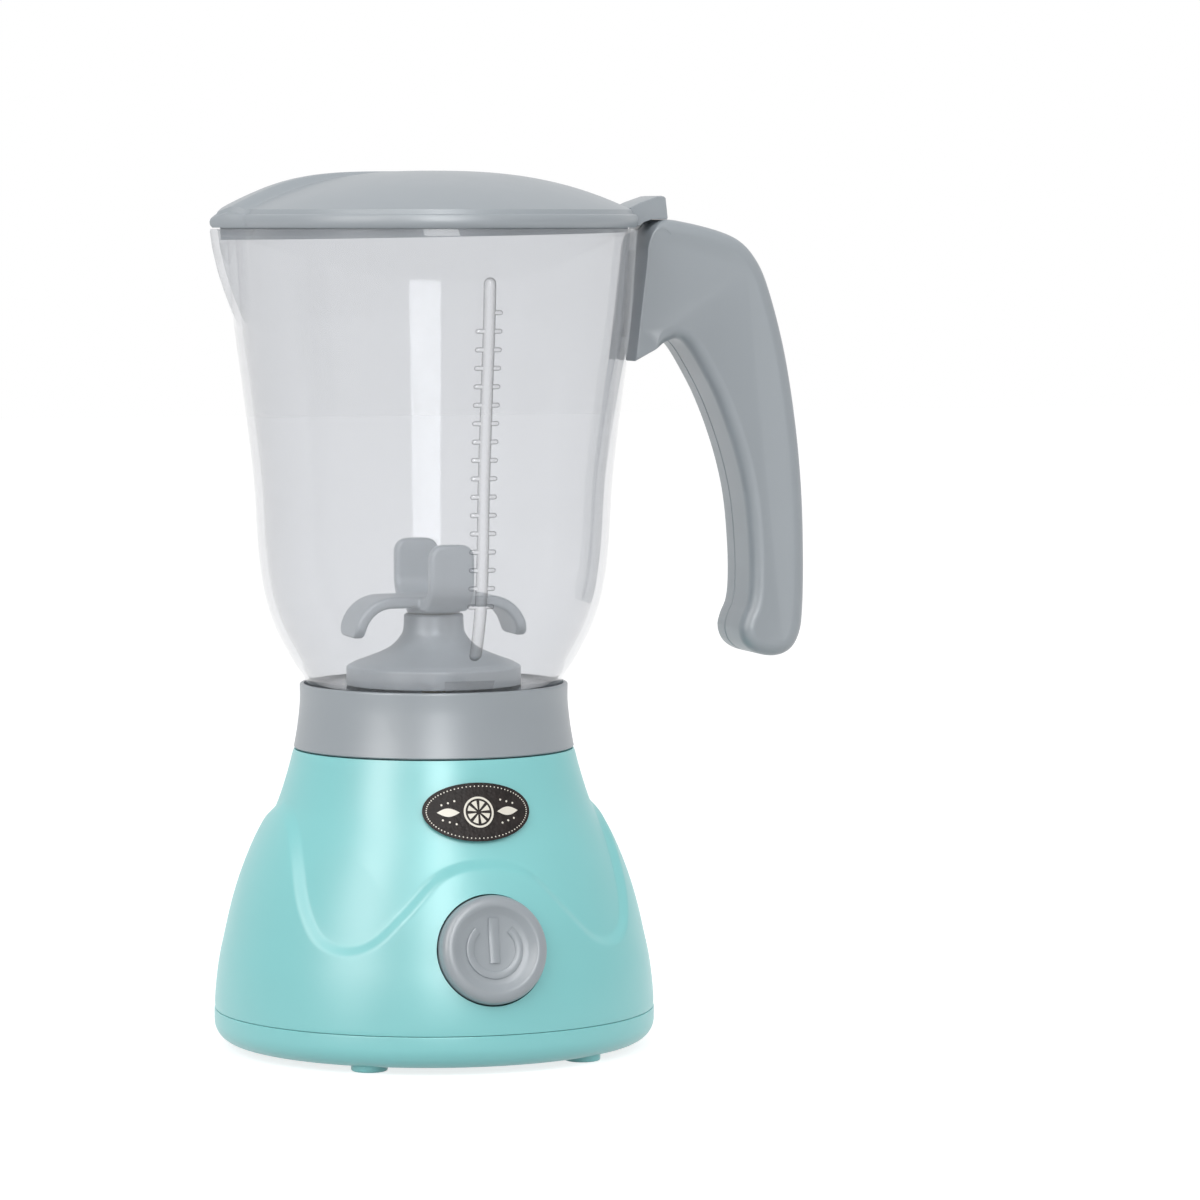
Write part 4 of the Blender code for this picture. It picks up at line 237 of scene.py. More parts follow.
def smooth_table(table, where):
    """A smooth value from a table of (place, value) pairs, flat at its ends."""
    if where <= table[0][0]:
        return table[0][1]
    for index in range(len(table) - 1):
        low, high = table[index], table[index + 1]
        if where <= high[0]:
            before = table[max(index - 1, 0)]
            after = table[min(index + 2, len(table) - 1)]
            span = high[0] - low[0]
            share = (where - low[0]) / span
            slope_low = (high[1] - before[1]) / (high[0] - before[0]) * span
            slope_high = (after[1] - low[1]) / (after[0] - low[0]) * span
            square, cube = share ** 2, share ** 3
            return (
                low[1] * (2 * cube - 3 * square + 1)
                + slope_low * (cube - 2 * square + share)
                + high[1] * (3 * square - 2 * cube)
                + slope_high * (cube - square)
            )
    return table[-1][1]


def soft_step(value):
    """0 below zero, 1 above one, and a smooth rise between."""
    value = min(max(value, 0.0), 1.0)
    return value * value * (3 - 2 * value)


def steps(low, high, count):
    """Even steps from low to high, both ends among them."""
    return [low + (high - low) * index / count for index in range(count + 1)]


def arc(centre, radius, start, end, count):
    """Points of (across, up) on an arc."""
    return [
        (centre[0] + radius * math.cos(turn), centre[1] + radius * math.sin(turn))
        for turn in steps(start, end, count)
    ]


def smooth_line(points, count, closed=False):
    """A smooth line through points, with count steps from each to the next."""
    total = len(points)
    spans = total if closed else total - 1
    line = []
    for index in range(spans):
        if closed:
            before, here, after, later = (points[(index + step) % total] for step in (-1, 0, 1, 2))
        else:
            here, after = points[index], points[index + 1]
            before = points[index - 1] if index else here
            later = points[index + 2] if index + 2 < total else after
        for step in range(count):
            t = step / count
            line.append(0.5 * (
                2 * here + (after - before) * t + (2 * before - 5 * here + 4 * after - later) * t ** 2
                + (3 * here - before - 3 * after + later) * t ** 3
            ))
    if not closed:
        line.append(points[-1])
    return line


# Meshes


def skin(rings, closed=False):
    """A mesh through rings of points. A ring of one point is a tip, and open ends get a flat cap."""
    mesh = bmesh.new()
    made = [[mesh.verts.new(point) for point in ring] for ring in rings]
    pairs = list(zip(made, made[1:]))
    if closed:
        pairs.append((made[-1], made[0]))
    for low, high in pairs:
        count = max(len(low), len(high))
        for index in range(count):
            after = (index + 1) % count
            if len(low) == 1:
                mesh.faces.new((low[0], high[after], high[index]))
            elif len(high) == 1:
                mesh.faces.new((low[index], low[after], high[0]))
            else:
                mesh.faces.new((low[index], low[after], high[after], high[index]))
    if not closed:
        for ring in (made[0], made[-1]):
            if len(ring) > 1:
                mesh.faces.new(ring)
    bmesh.ops.recalc_face_normals(mesh, faces=mesh.faces)
    return mesh


def circle(radius, height, sides, centre=(0, 0)):
    """One ring of points round an upright axis, or one point where the radius is zero."""
    if radius == 0:
        return [Vector((centre[0], centre[1], height))]
    return [
        Vector((centre[0] + radius * math.cos(turn), centre[1] + radius * math.sin(turn), height))
        for turn in (math.tau * index / sides for index in range(sides))
    ]


def lathe(profile, sides, centre=(0, 0), closed=False):
    """A turned solid from (radius, height) pairs."""
    return skin([circle(radius, height, sides, centre) for radius, height in profile], closed)


def rod(radius, low, high, sides=48, centre=(0, 0)):
    return lathe(((radius, low), (radius, high)), sides, centre)


def wound(radius, wire, low, high, turns, around=20, sides=10):
    """A round wire wound up an upright axis."""
    rings = []
    for index in range(turns * around + 1):
        turn = math.tau * index / around
        height = low + wire + (high - low - 2 * wire) * index / (turns * around)
        out = Vector((math.cos(turn), math.sin(turn), 0))
        rings.append([
            out * (radius + wire * math.cos(angle)) + Vector((0, 0, height + wire * math.sin(angle)))
            for angle in (math.tau * side / sides for side in range(sides))
        ])
    return skin(rings)


def prism(outline, low, high):
    """An outline of (x, y) pairs, extruded upward."""
    return skin([[Vector((x, y, height)) for x, y in outline] for height in (low, high)])


def block(low, high):
    outline = ((low[0], low[1]), (high[0], low[1]), (high[0], high[1]), (low[0], high[1]))
    return prism(outline, low[2], high[2])


def side_prism(outline, low, high):
    """An outline of (x, z) pairs, extruded along Y."""
    return skin([[Vector((x, depth, z)) for x, z in outline] for depth in (low, high)])


def moved(mesh, matrix):
    bmesh.ops.transform(mesh, matrix=matrix, verts=mesh.verts)
    return mesh


def to_object(name, mesh):
    data = bpy.data.meshes.new(name)
    mesh.to_mesh(data)
    mesh.free()
    made = bpy.data.objects.new(name, data)
    bpy.context.scene.collection.objects.link(made)
    return made


def bake_modifiers(target):
    """Keeps the mesh as its modifiers leave it."""
    graph = bpy.context.evaluated_depsgraph_get()
    result = bpy.data.meshes.new_from_object(target.evaluated_get(graph))
    target.modifiers.clear()
    target.data = result
    return target


def combine(target, meshes, operation):
    """Joins meshes to an object, or cuts them out of it, in one step."""
    together = bmesh.new()
    for mesh in meshes:
        data = bpy.data.meshes.new("tool")
        mesh.to_mesh(data)
        mesh.free()
        together.from_mesh(data)
        bpy.data.meshes.remove(data)
    tool = to_object("tool", together)
    change = target.modifiers.new("combine", "BOOLEAN")
    change.operation = operation
    change.solver = "EXACT"
    change.use_self = len(meshes) > 1
    change.object = tool
    bake_modifiers(target)
    bpy.data.objects.remove(tool, do_unlink=True)
    return target


def join(target, *meshes):
    return combine(target, meshes, "UNION")


def cut(target, *meshes):
    return combine(target, meshes, "DIFFERENCE")


def dress(target, body, finish, nodes=(), crease=32, at=AXIS):
    """Shades a piece, gives it its finish, sets it on the blender's axis and lets it ride on its body."""
    target.data.materials.clear()
    target.data.materials.append(finish)
    target.data.shade_smooth()
    target.data.set_sharp_from_angle(angle=math.radians(crease))
    target.location = at
    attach(target, body)
    if nodes:
        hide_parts(*nodes)
    return target


def corners(radius, angle):
    """Four places on a circle, one in each quarter."""
    return [
        (radius * math.cos(turn), radius * math.sin(turn))
        for turn in (angle, math.pi - angle, math.pi + angle, -angle)
    ]


# Finishes


WHITE = (1, 1, 1, 1)
CLEAR_HAZE = 0.05
CLEAR_GLOSS_ROUGHNESS = 0.05
# The clear wall's mirror: its share seen straight on, what it gains to the edge and how late it gains it
CLEAR_MIRROR = 0.035
CLEAR_MIRROR_GAIN = 0.9
CLEAR_MIRROR_POWER = 5.0


class Tree:
    """A node tree, with short ways to add to it."""

    def __init__(self, tree):
        self.tree = tree

    def add(self, kind, inputs=(), **values):
        node = self.tree.nodes.new(kind)
        for name, value in values.items():
            setattr(node, name, value)
        for name, value in dict(inputs).items():
            self.feed(node.inputs[name], value)
        return node

    def feed(self, socket, value):
        if isinstance(value, bpy.types.NodeSocket):
            self.tree.links.new(value, socket)
        else:
            socket.default_value = value

    def math(self, operation, *values):
        return self.add("ShaderNodeMath", enumerate(values), operation=operation).outputs[0]

    def blend(self, share, first, second):
        """A shader that is the first one at 0 and the second at 1."""
        node = self.add("ShaderNodeMixShader", {0: share, 1: first, 2: second})
        return node.outputs["Shader"]

    def seen(self):
        """1 for what the camera, a gloss or a clear wall sees, and 0 for light."""
        path = self.add("ShaderNodeLightPath").outputs
        glossy = self.math("MAXIMUM", path["Is Camera Ray"], path["Is Glossy Ray"])
        return self.math("MAXIMUM", glossy, path["Is Transmission Ray"])


class Nodes(Tree):
    """A material and its node tree."""

    def __init__(self, name):
        self.material = bpy.data.materials.new(name)
        self.material.use_nodes = True
        super().__init__(self.material.node_tree)
        self.shader = self.tree.nodes["Principled BSDF"]
        self.output = self.tree.nodes["Material Output"]
        self.place = self.add("ShaderNodeTexCoord").outputs["Object"]

    def sets(self, **values):
        """Sets the shader's own sockets, named with underscores for spaces."""
        for name, value in values.items():
            self.feed(self.shader.inputs[name.replace("_", " ")], value)

    def noise(self, size, detail=3.0, roughness=0.5, stretch=(1, 1, 1)):
        """Noise from 0 to 1 whose features have the size, in metres."""
        place = self.add("ShaderNodeMapping", {"Vector": self.place, "Scale": stretch})
        node = self.add("ShaderNodeTexNoise", {
            "Vector": place.outputs["Vector"], "Scale": 1 / size, "Detail": detail, "Roughness": roughness,
        })
        return node.outputs["Fac"]

    def spread(self, value, low, high):
        """The value from 0.2 to 0.8, where most noise lies, spread smoothly from low to high."""
        node = self.add("ShaderNodeMapRange", {
            "Value": value, "From Min": 0.2, "From Max": 0.8, "To Min": low, "To Max": high,
        }, interpolation_type="SMOOTHSTEP")
        return node.outputs["Result"]

    def mix(self, share, low, high):
        node = self.add("ShaderNodeMix", data_type="RGBA")
        self.feed(node.inputs["Factor"], share)
        self.feed(node.inputs["A"], (*low, 1))
        self.feed(node.inputs["B"], (*high, 1))
        return node.outputs["Result"]

    def bump(self, height, distance, below=None):
        node = self.add("ShaderNodeBump", {"Height": height, "Strength": 1.0, "Distance": distance})
        if below is not None:
            self.feed(node.inputs["Normal"], below)
        return node.outputs["Normal"]


def shade(tint, share):
    """The colour made darker below 1 and lighter above."""
    return tuple(min(part * share, 1) for part in tint)


def once(make):
    """Makes each finish one time only, and gives it again when it is asked for again."""

    def given(name, *looks, **more):
        return bpy.data.materials.get(name) or make(name, *looks, **more)

    return given


@once
def plastic(name, tint, satin, mottle=0.012):
    """Moulded plastic: faint flow in its colour, a fine satin grain and slight waves of the wall."""
    nodes = Nodes(name)
    flow = nodes.spread(nodes.noise(22 * MM, 2.0), 0, 1)
    fine = nodes.noise(0.35 * MM, 2.0, 0.6)
    waves = nodes.noise(14 * MM, 1.0)
    nodes.sets(
        Base_Color=nodes.mix(flow, shade(tint, 1 - mottle), shade(tint, 1 + mottle)),
        Roughness=nodes.spread(nodes.noise(9 * MM, 1.0), satin - 0.015, satin + 0.015),
        Normal=nodes.bump(fine, 0.0012 * MM, nodes.bump(waves, 0.012 * MM)),
        IOR=1.5,
        Specular_IOR_Level=1.0,
    )
    return nodes.material


@once
def clear_plastic(name, tint, edge, dark):
    """Clear plastic wall: darker where it is seen aslant, partly for the longer path through its tint and
    partly a painted dark outline standing in for refraction, with a faint haze and a sharp gloss.
    """
    nodes = Nodes(name)
    flow = nodes.spread(nodes.noise(18 * MM, 1.0), 0, 1)
    waves = nodes.bump(nodes.noise(16 * MM, 1.0), 0.02 * MM)
    nodes.sets(
        Base_Color=nodes.mix(flow, shade(tint, 0.96), shade(tint, 1.0)),
        Roughness=0.06,
        IOR=1.46,
        Normal=waves,
    )
    facing = nodes.add("ShaderNodeLayerWeight", {"Blend": 0.5}).outputs["Facing"]
    # Painted shade: the see-through tint darkens toward the edge-on parts, an outline standing in for what
    # refraction would show.
    painted_edge_share = nodes.math("POWER", facing, edge)
    through = nodes.add("ShaderNodeBsdfTransparent", {"Color": nodes.mix(painted_edge_share, tint, shade(tint, dark))})
    gloss = nodes.add("ShaderNodeBsdfGlossy", {
        "Color": WHITE, "Roughness": CLEAR_GLOSS_ROUGHNESS, "Normal": waves,
    })
    hazy = nodes.blend(CLEAR_HAZE, through.outputs["BSDF"], nodes.shader.outputs["BSDF"])
    glancing = nodes.math("POWER", facing, CLEAR_MIRROR_POWER)
    mirror = nodes.math("MULTIPLY_ADD", glancing, CLEAR_MIRROR_GAIN, CLEAR_MIRROR)
    nodes.feed(nodes.output.inputs["Surface"], nodes.blend(mirror, hazy, gloss.outputs["BSDF"]))
    return nodes.material


@once
def metal(name, tint, rough):
    """Drawn or plated metal, with fine marks along one way."""
    nodes = Nodes(name)
    marks = nodes.noise(0.6 * MM, 3.0, 0.6, (1, 1, 12))
    nodes.sets(
        Base_Color=nodes.mix(nodes.spread(nodes.noise(5 * MM), 0, 1), shade(tint, 0.92), shade(tint, 1.05)),
        Metallic=1.0,
        Roughness=nodes.spread(marks, rough - 0.06, rough + 0.08),
        Normal=nodes.bump(marks, 0.004 * MM),
    )
    return nodes.material


def leather(name, tint):
    """Dark pressed leather look, with pores and soft creases."""
    nodes = Nodes(name)
    cells = nodes.add("ShaderNodeTexVoronoi", {"Vector": nodes.place, "Scale": 1 / (0.9 * MM)})
    creases = nodes.noise(1.6 * MM, 4.0, 0.6)
    nodes.sets(
        Base_Color=nodes.mix(nodes.spread(creases, 0, 1), shade(tint, 0.6), shade(tint, 1.7)),
        Roughness=nodes.spread(creases, 0.42, 0.62),
        Specular_IOR_Level=0.3,
        Normal=nodes.bump(cells.outputs["Distance"], 0.14 * MM, nodes.bump(creases, 0.22 * MM)),
    )
    return nodes.material


def rubber(name, tint):
    """Soft sheath of a wire."""
    nodes = Nodes(name)
    nodes.sets(
        Base_Color=nodes.mix(nodes.spread(nodes.noise(2 * MM), 0, 1), shade(tint, 0.85), shade(tint, 1.1)),
        Roughness=0.5,
        Normal=nodes.bump(nodes.noise(0.3 * MM), 0.005 * MM),
    )
    return nodes.material


def mint():
    look = bpy.context.scene.toy_blender_finish
    return plastic("mint_plastic_finish", look.mint, look.satin)


def gray():
    look = bpy.context.scene.toy_blender_finish
    return plastic("gray_plastic_finish", look.gray, look.satin + 0.04)


def blade_gray_painted_light():
    """The blades' gray: the same gray plastic with painted light, made lighter to stand in for the stronger
    light that falls on the blades inside the jar.
    """
    look = bpy.context.scene.toy_blender_finish
    return plastic("blade_plastic_finish", look.blade, look.satin + 0.04)


def natural():
    look = bpy.context.scene.toy_blender_finish
    return plastic("natural_plastic_finish", look.natural, look.satin + 0.1)


def steel():
    return metal("steel_finish", (0.55, 0.55, 0.56), 0.32)


def brass():
    return metal("brass_finish", (0.70, 0.50, 0.22), 0.34)


# Base


def base_radius(sizes, shares, height):
    share = smooth_table(shares, height / sizes.height)
    return sizes.top_radius + share * (sizes.radius - sizes.top_radius)


def wave_height(sizes, angle):
    """Height of the skirt's edge at an angle from +X."""
    quarter = math.asin(min(abs(math.cos(angle)), 1.0)) / QUARTER
    return smooth_table(WAVE_SHARES, quarter) * sizes.height


def button_frame(scene):
    """Frame of the button: its Z points out of the base's front, up by the tilt."""
    sizes, button = scene.toy_blender_base, scene.toy_blender_button
    place = Matrix.Translation((0, -base_radius(sizes, SKIRT_SHARES, button.height), button.height))
    return place @ Matrix.Rotation(QUARTER - button.tilt, 4, "X")


BUTTON_CLEARANCE = 0.4 * MM
WELL_WALL = 1.8 * MM
WELL_DEPTH = 9.0 * MM
WELL_FLOOR = 2.0 * MM
STEM_RADIUS = 2.6 * MM


class TOYBLENDER_OT_base_shell(Operator):
    """Mint bell of the base, with its raised wave and the well for the button"""

    bl_idname = "toyblender.base_shell"
    bl_label = "Base shell"

    def execute(self, context):
        sizes, button = context.scene.toy_blender_base, context.scene.toy_blender_button
        low, high = SHELL_LOW.z, SHELL_HIGH.z
        lip, lip_share = 0.25 * MM, 0.6
        low_rows, edge_rows, high_rows = 26, 9, 22
        turn_step = math.radians(1)
        rings = []
        for row in range(low_rows + edge_rows + high_rows + 1):
            ring = []
            for side in range(sizes.sides):
                angle = math.tau * side / sizes.sides
                wave = wave_height(sizes, angle)
                ahead, behind = (wave_height(sizes, angle + turn) for turn in (turn_step, -turn_step))
                rise = (ahead - behind) / (2 * turn_step)
                half = sizes.relief * math.hypot(1, rise / base_radius(sizes, BODY_SHARES, wave))
                if row <= low_rows:
                    height = low + (wave - half - low) * row / low_rows
                elif row <= low_rows + edge_rows:
                    height = wave - half + 2 * half * (row - low_rows) / edge_rows
                else:
                    height = wave + half + (high - wave - half) * (row - low_rows - edge_rows) / high_rows
                share = soft_step(0.5 + (wave - height) / (2 * half))
                body = base_radius(sizes, BODY_SHARES, height)
                radius = body + share * (base_radius(sizes, SKIRT_SHARES, height) - body)
                for end in (low, high):
                    inside = max(1 - abs(height - end) / lip, 0.0)
                    radius -= lip * (1 - math.sqrt(1 - inside ** 2)) * lip_share
                ring.append(Vector((radius * math.cos(angle), radius * math.sin(angle), height)))
            rings.append(ring)
        deck, hole = 2.0 * MM, 3.6 * MM
        rings += [circle(hole, level, sizes.sides) for level in (high, high - deck)]
        rings += [
            circle(base_radius(sizes, BODY_SHARES, height) - sizes.wall, height, sizes.sides)
            for height in steps(high - deck, low, 16)
        ]
        shell = to_object("base_bell", skin(rings, closed=True))
        where = button_frame(context.scene)
        well = button.radius + BUTTON_CLEARANCE
        cup = [circle(well + WELL_WALL, -WELL_DEPTH - WELL_FLOOR, 96)]
        for radius in (well + WELL_WALL, well - WELL_WALL):
            cup.append([Vector((x, y, self.sunk(context.scene, x, y))) for x, y, _ in circle(radius, 0, 96)])
        join(shell, moved(skin(cup), where))
        cut(
            shell,
            moved(rod(well, -WELL_DEPTH, 3 * OVERRUN, 144), where),
            moved(rod(STEM_RADIUS + GAP, -WELL_DEPTH - WELL_FLOOR - OVERRUN, -WELL_DEPTH + OVERRUN), where),
        )
        dress(shell, "base", mint(), ["base_shell"])
        return {"FINISHED"}

    def sunk(self, scene, across, up):
        """How high the middle of the shell's wall lies in the button's frame, at a place in it."""
        sizes, where = scene.toy_blender_base, button_frame(scene)
        low, high = -WELL_DEPTH, OVERRUN
        for _ in range(20):
            middle = (low + high) / 2
            point = where @ Vector((across, up, middle))
            if math.hypot(point.x, point.y) > base_radius(sizes, BODY_SHARES, point.z) - sizes.wall / 2:
                high = middle
            else:
                low = middle
        return low


FOOT_HEIGHT = 1.5 * MM
FOOT_RADIUS = 4.3 * MM
FOOT_CIRCLE = 44.4 * MM
FOOT_ANGLE = math.radians(54.2)
COVER_TOP = SHELL_LOW.z - GAP
COVER_LIP_TOP = COVER_TOP + 1.8 * MM
COVER_SEAM = 0.14 * MM
COVER_FLOOR = 2.0 * MM
COVER_WALL = 4.2 * MM
COVER_LIP_WALL = 1.5 * MM
SCREW_CIRCLE = 44.0 * MM
SCREW_ANGLE = math.radians(40)
SCREW_HEAD_RADIUS = 2.8 * MM
SCREW_RADIUS = 1.4 * MM
SCREW_RECESS = 3.5 * MM
DOOR_THICKNESS = 1.6 * MM
DOOR_LEDGE = 0.8 * MM
DOOR_TAB_RADIUS = 5.0 * MM
DOOR_TAB_REACH = 3.6 * MM
DOOR_BOSS_RADIUS = 4.3 * MM
DOOR_BOSS_HEIGHT = 3.0 * MM
DOOR_SCREW_HEAD_RADIUS = 2.2 * MM
BAY_WALL = 1.6 * MM
BAY_ROOF = 19.2 * MM
DOOR_HALF_LENGTH = AXIS.x - DOOR_LOW.x
DOOR_HALF_WIDTH = (DOOR_HIGH.y - DOOR_LOW.y) / 2
DOOR_SCREW_PLACE = (DOOR_HALF_LENGTH + DOOR_TAB_REACH, 0)


def door_outline(grow):
    """The battery door seen from below: a rectangle with rounded corners and a round screw tab."""
    across, deep, tab = DOOR_HALF_LENGTH + grow, DOOR_HALF_WIDTH + grow, DOOR_TAB_RADIUS + grow
    corner = 1.2 * MM + grow
    points = arc(DOOR_SCREW_PLACE, tab, -QUARTER, QUARTER, 24)
    for side, (x, y) in enumerate(CORNER_SIGNS):
        centre = (x * (across - corner), y * (deep - corner))
        points += arc(centre, corner, side * QUARTER, (side + 1) * QUARTER, 5)
    return points


class TOYBLENDER_OT_bottom_cover(Operator):
    """Dish under the base with four feet, the screw pits and the battery bay, and its door"""

    bl_idname = "toyblender.bottom_cover"
    bl_label = "Bottom cover and door"

    def execute(self, context):
        sizes = context.scene.toy_blender_base
        floor_top = FOOT_HEIGHT + COVER_FLOOR
        edge_centre = (sizes.radius - sizes.edge, FOOT_HEIGHT + sizes.edge)
        round_edge = arc(edge_centre, sizes.edge, -QUARTER, 0, 14)
        lip, top = 0.2 * MM, COVER_TOP + COVER_SEAM
        top_edge = arc((sizes.radius - lip, top - lip), lip, 0, QUARTER, 4)
        inner = sizes.radius - COVER_WALL
        profile = [(0, FOOT_HEIGHT)] + round_edge + top_edge + [
            (inner + COVER_LIP_WALL, top),
            (inner + COVER_LIP_WALL, COVER_LIP_TOP),
            (inner, COVER_LIP_TOP),
            (inner, floor_top),
            (0, floor_top),
        ]
        cover = to_object("base_dish", lathe(profile, sizes.sides))
        low = FOOT_HEIGHT + COVER_FLOOR / 2
        bay_x, bay_y = DOOR_HALF_LENGTH - DOOR_LEDGE + GAP, DOOR_HALF_WIDTH - DOOR_LEDGE + GAP
        foot_round = 0.5 * MM
        foot = [(0, 0)] + arc((FOOT_RADIUS - foot_round, foot_round), foot_round, -QUARTER, 0, 5)
        foot.append((FOOT_RADIUS, low))
        bay_low = (-bay_x - BAY_WALL, -bay_y - BAY_WALL, low)
        bay_high = (bay_x + BAY_WALL, bay_y + BAY_WALL, BAY_ROOF + BAY_WALL)
        parts = [
            block(bay_low, bay_high),
            rod(DOOR_BOSS_RADIUS + GAP + BAY_WALL, low, COVER_TOP, 40, DOOR_SCREW_PLACE),
        ]
        parts += [lathe(foot + [(0, low)], 48, place) for place in corners(FOOT_CIRCLE, FOOT_ANGLE)]
        boss = SCREW_HEAD_RADIUS + OVERRUN
        parts += [rod(boss, low, COVER_TOP, 40, place) for place in corners(SCREW_CIRCLE, SCREW_ANGLE)]
        join(cover, *parts)
        under = FOOT_HEIGHT - OVERRUN
        door_top = FOOT_HEIGHT + DOOR_THICKNESS + GAP / 2
        boss_top = FOOT_HEIGHT + DOOR_BOSS_HEIGHT
        holes = [
            block((-bay_x, -bay_y, under), (bay_x, bay_y, BAY_ROOF)),
            prism(door_outline(GAP), under, door_top),
            rod(DOOR_BOSS_RADIUS + GAP, under, boss_top + GAP, 40, DOOR_SCREW_PLACE),
        ]
        for place in corners(SCREW_CIRCLE, SCREW_ANGLE):
            holes.append(rod(SCREW_HEAD_RADIUS + GAP, under, FOOT_HEIGHT + SCREW_RECESS, 40, place))
            holes.append(rod(SCREW_RADIUS + GAP, under, COVER_TOP + OVERRUN, 24, place))
        cut(cover, *holes)
        dress(cover, "base", mint(), ["bottom_cover"])

        edge = 0.3 * MM
        rings = [
            [Vector((x, y, height)) for x, y in door_outline(-drawn)]
            for drawn, height in (
                (edge, FOOT_HEIGHT), (edge * 0.3, FOOT_HEIGHT + edge * 0.3), (0, FOOT_HEIGHT + edge),
                (0, FOOT_HEIGHT + DOOR_THICKNESS),
            )
        ]
        door = to_object("door_panel", skin(rings))
        join(door, rod(DOOR_BOSS_RADIUS, FOOT_HEIGHT + edge, boss_top, 40, DOOR_SCREW_PLACE))
        seat = FOOT_HEIGHT + DOOR_THICKNESS
        grip = DOOR_HALF_WIDTH * 0.45
        grips = [
            block((x - edge, -grip, under), (x + edge, grip, FOOT_HEIGHT + edge))
            for x in steps(-DOOR_HALF_LENGTH * 0.82, -DOOR_HALF_LENGTH * 0.55, 5)
        ]
        cut(
            door,
            rod(DOOR_SCREW_HEAD_RADIUS + GAP, under, seat + GAP, 40, DOOR_SCREW_PLACE),
            rod(SCREW_RADIUS, under, boss_top + OVERRUN, 24, DOOR_SCREW_PLACE),
            *grips,
        )
        dress(door, "door", mint(), ["battery_door"])
        return {"FINISHED"}


class TOYBLENDER_OT_collar(Operator):
    """Gray ring on the base that takes the jar's foot, with its deck"""

    bl_idname = "toyblender.collar"
    bl_label = "Collar"

    def execute(self, context):
        sizes, jar = context.scene.toy_blender_base, context.scene.toy_blender_jar
        low, high = COLLAR_LOW.z, COLLAR_HIGH.z
        top = jar.foot_radius + 1.5 * MM
        round_edge, lip = 0.45 * MM, 0.3 * MM
        outside = smooth_line([Vector(point) for point in (
            (sizes.top_radius, low + lip),
            (sizes.top_radius + (top - sizes.top_radius) * 0.2, low + (high - low) * 0.12),
            (sizes.top_radius + (top - sizes.top_radius) * 0.6, low + (high - low) * 0.35),
            (top, low + (high - low) * 0.7),
            (top, high - round_edge),
        )], 8)
        deck_top = JAR_LOW.z - GAP
        wall, foot, hole = 1.0 * MM, 2.0 * MM, 12.5 * MM
        profile = [(sizes.top_radius - lip, low)] + [tuple(point) for point in outside]
        profile += arc((top - round_edge, high - round_edge), round_edge, 0, QUARTER, 6)
        profile += [
            (top - wall, high), (top - wall, deck_top), (hole, deck_top), (hole, deck_top - foot),
            (sizes.top_radius - foot, deck_top - foot), (sizes.top_radius - foot, low),
        ]
        collar = to_object("collar_ring", lathe(profile, sizes.sides, closed=True))
        dress(collar, "base", gray(), ["collar"])
        return {"FINISHED"}


# Badge and button

BADGE_THICKNESS = 1.0 * MM
BADGE_SHARES = (1.0, 0.99, 0.97, 0.94, 0.9, 0.8, 0.65, 0.45, 0.25)
PRINT_RISE = 0.05 * MM
BORDER_DOTS = 78
BORDER_DOT = 0.15 * MM
BORDER_ACROSS = 0.925
BORDER_UP = 0.89
SLICE_RADIUS = 3.5 * MM
SLICE_PEEL = 0.45 * MM
SLICE_SEGMENTS = 8
SLICE_LEAN = 0.07
LEAF_START = 4.4 * MM
LEAF_LENGTH = 5.2 * MM
LEAF_HALF_WIDTH = 0.95 * MM
BERRY_DOT = 0.24 * MM
BERRY_START = Vector((5.4, 2.6)) * MM
BERRY_STEP = Vector((1.5, -0.45)) * MM


def badge_surface(scene, across, up, lift):
    """A point over the base's front, across and up from the badge's middle."""
    sizes = scene.toy_blender_base
    height = scene.toy_blender_button.badge_centre + up
    radius = base_radius(sizes, BODY_SHARES, height) + lift
    angle = -QUARTER + across / base_radius(sizes, BODY_SHARES, height)
    return Vector((radius * math.cos(angle), radius * math.sin(angle), height))


def badge_lift(share):
    """Height of the badge's face over the base: a slight cushion that falls at its edge."""
    return GAP + BADGE_THICKNESS * (0.72 + 0.28 * math.sqrt(max(1 - share ** 4, 0.0)))


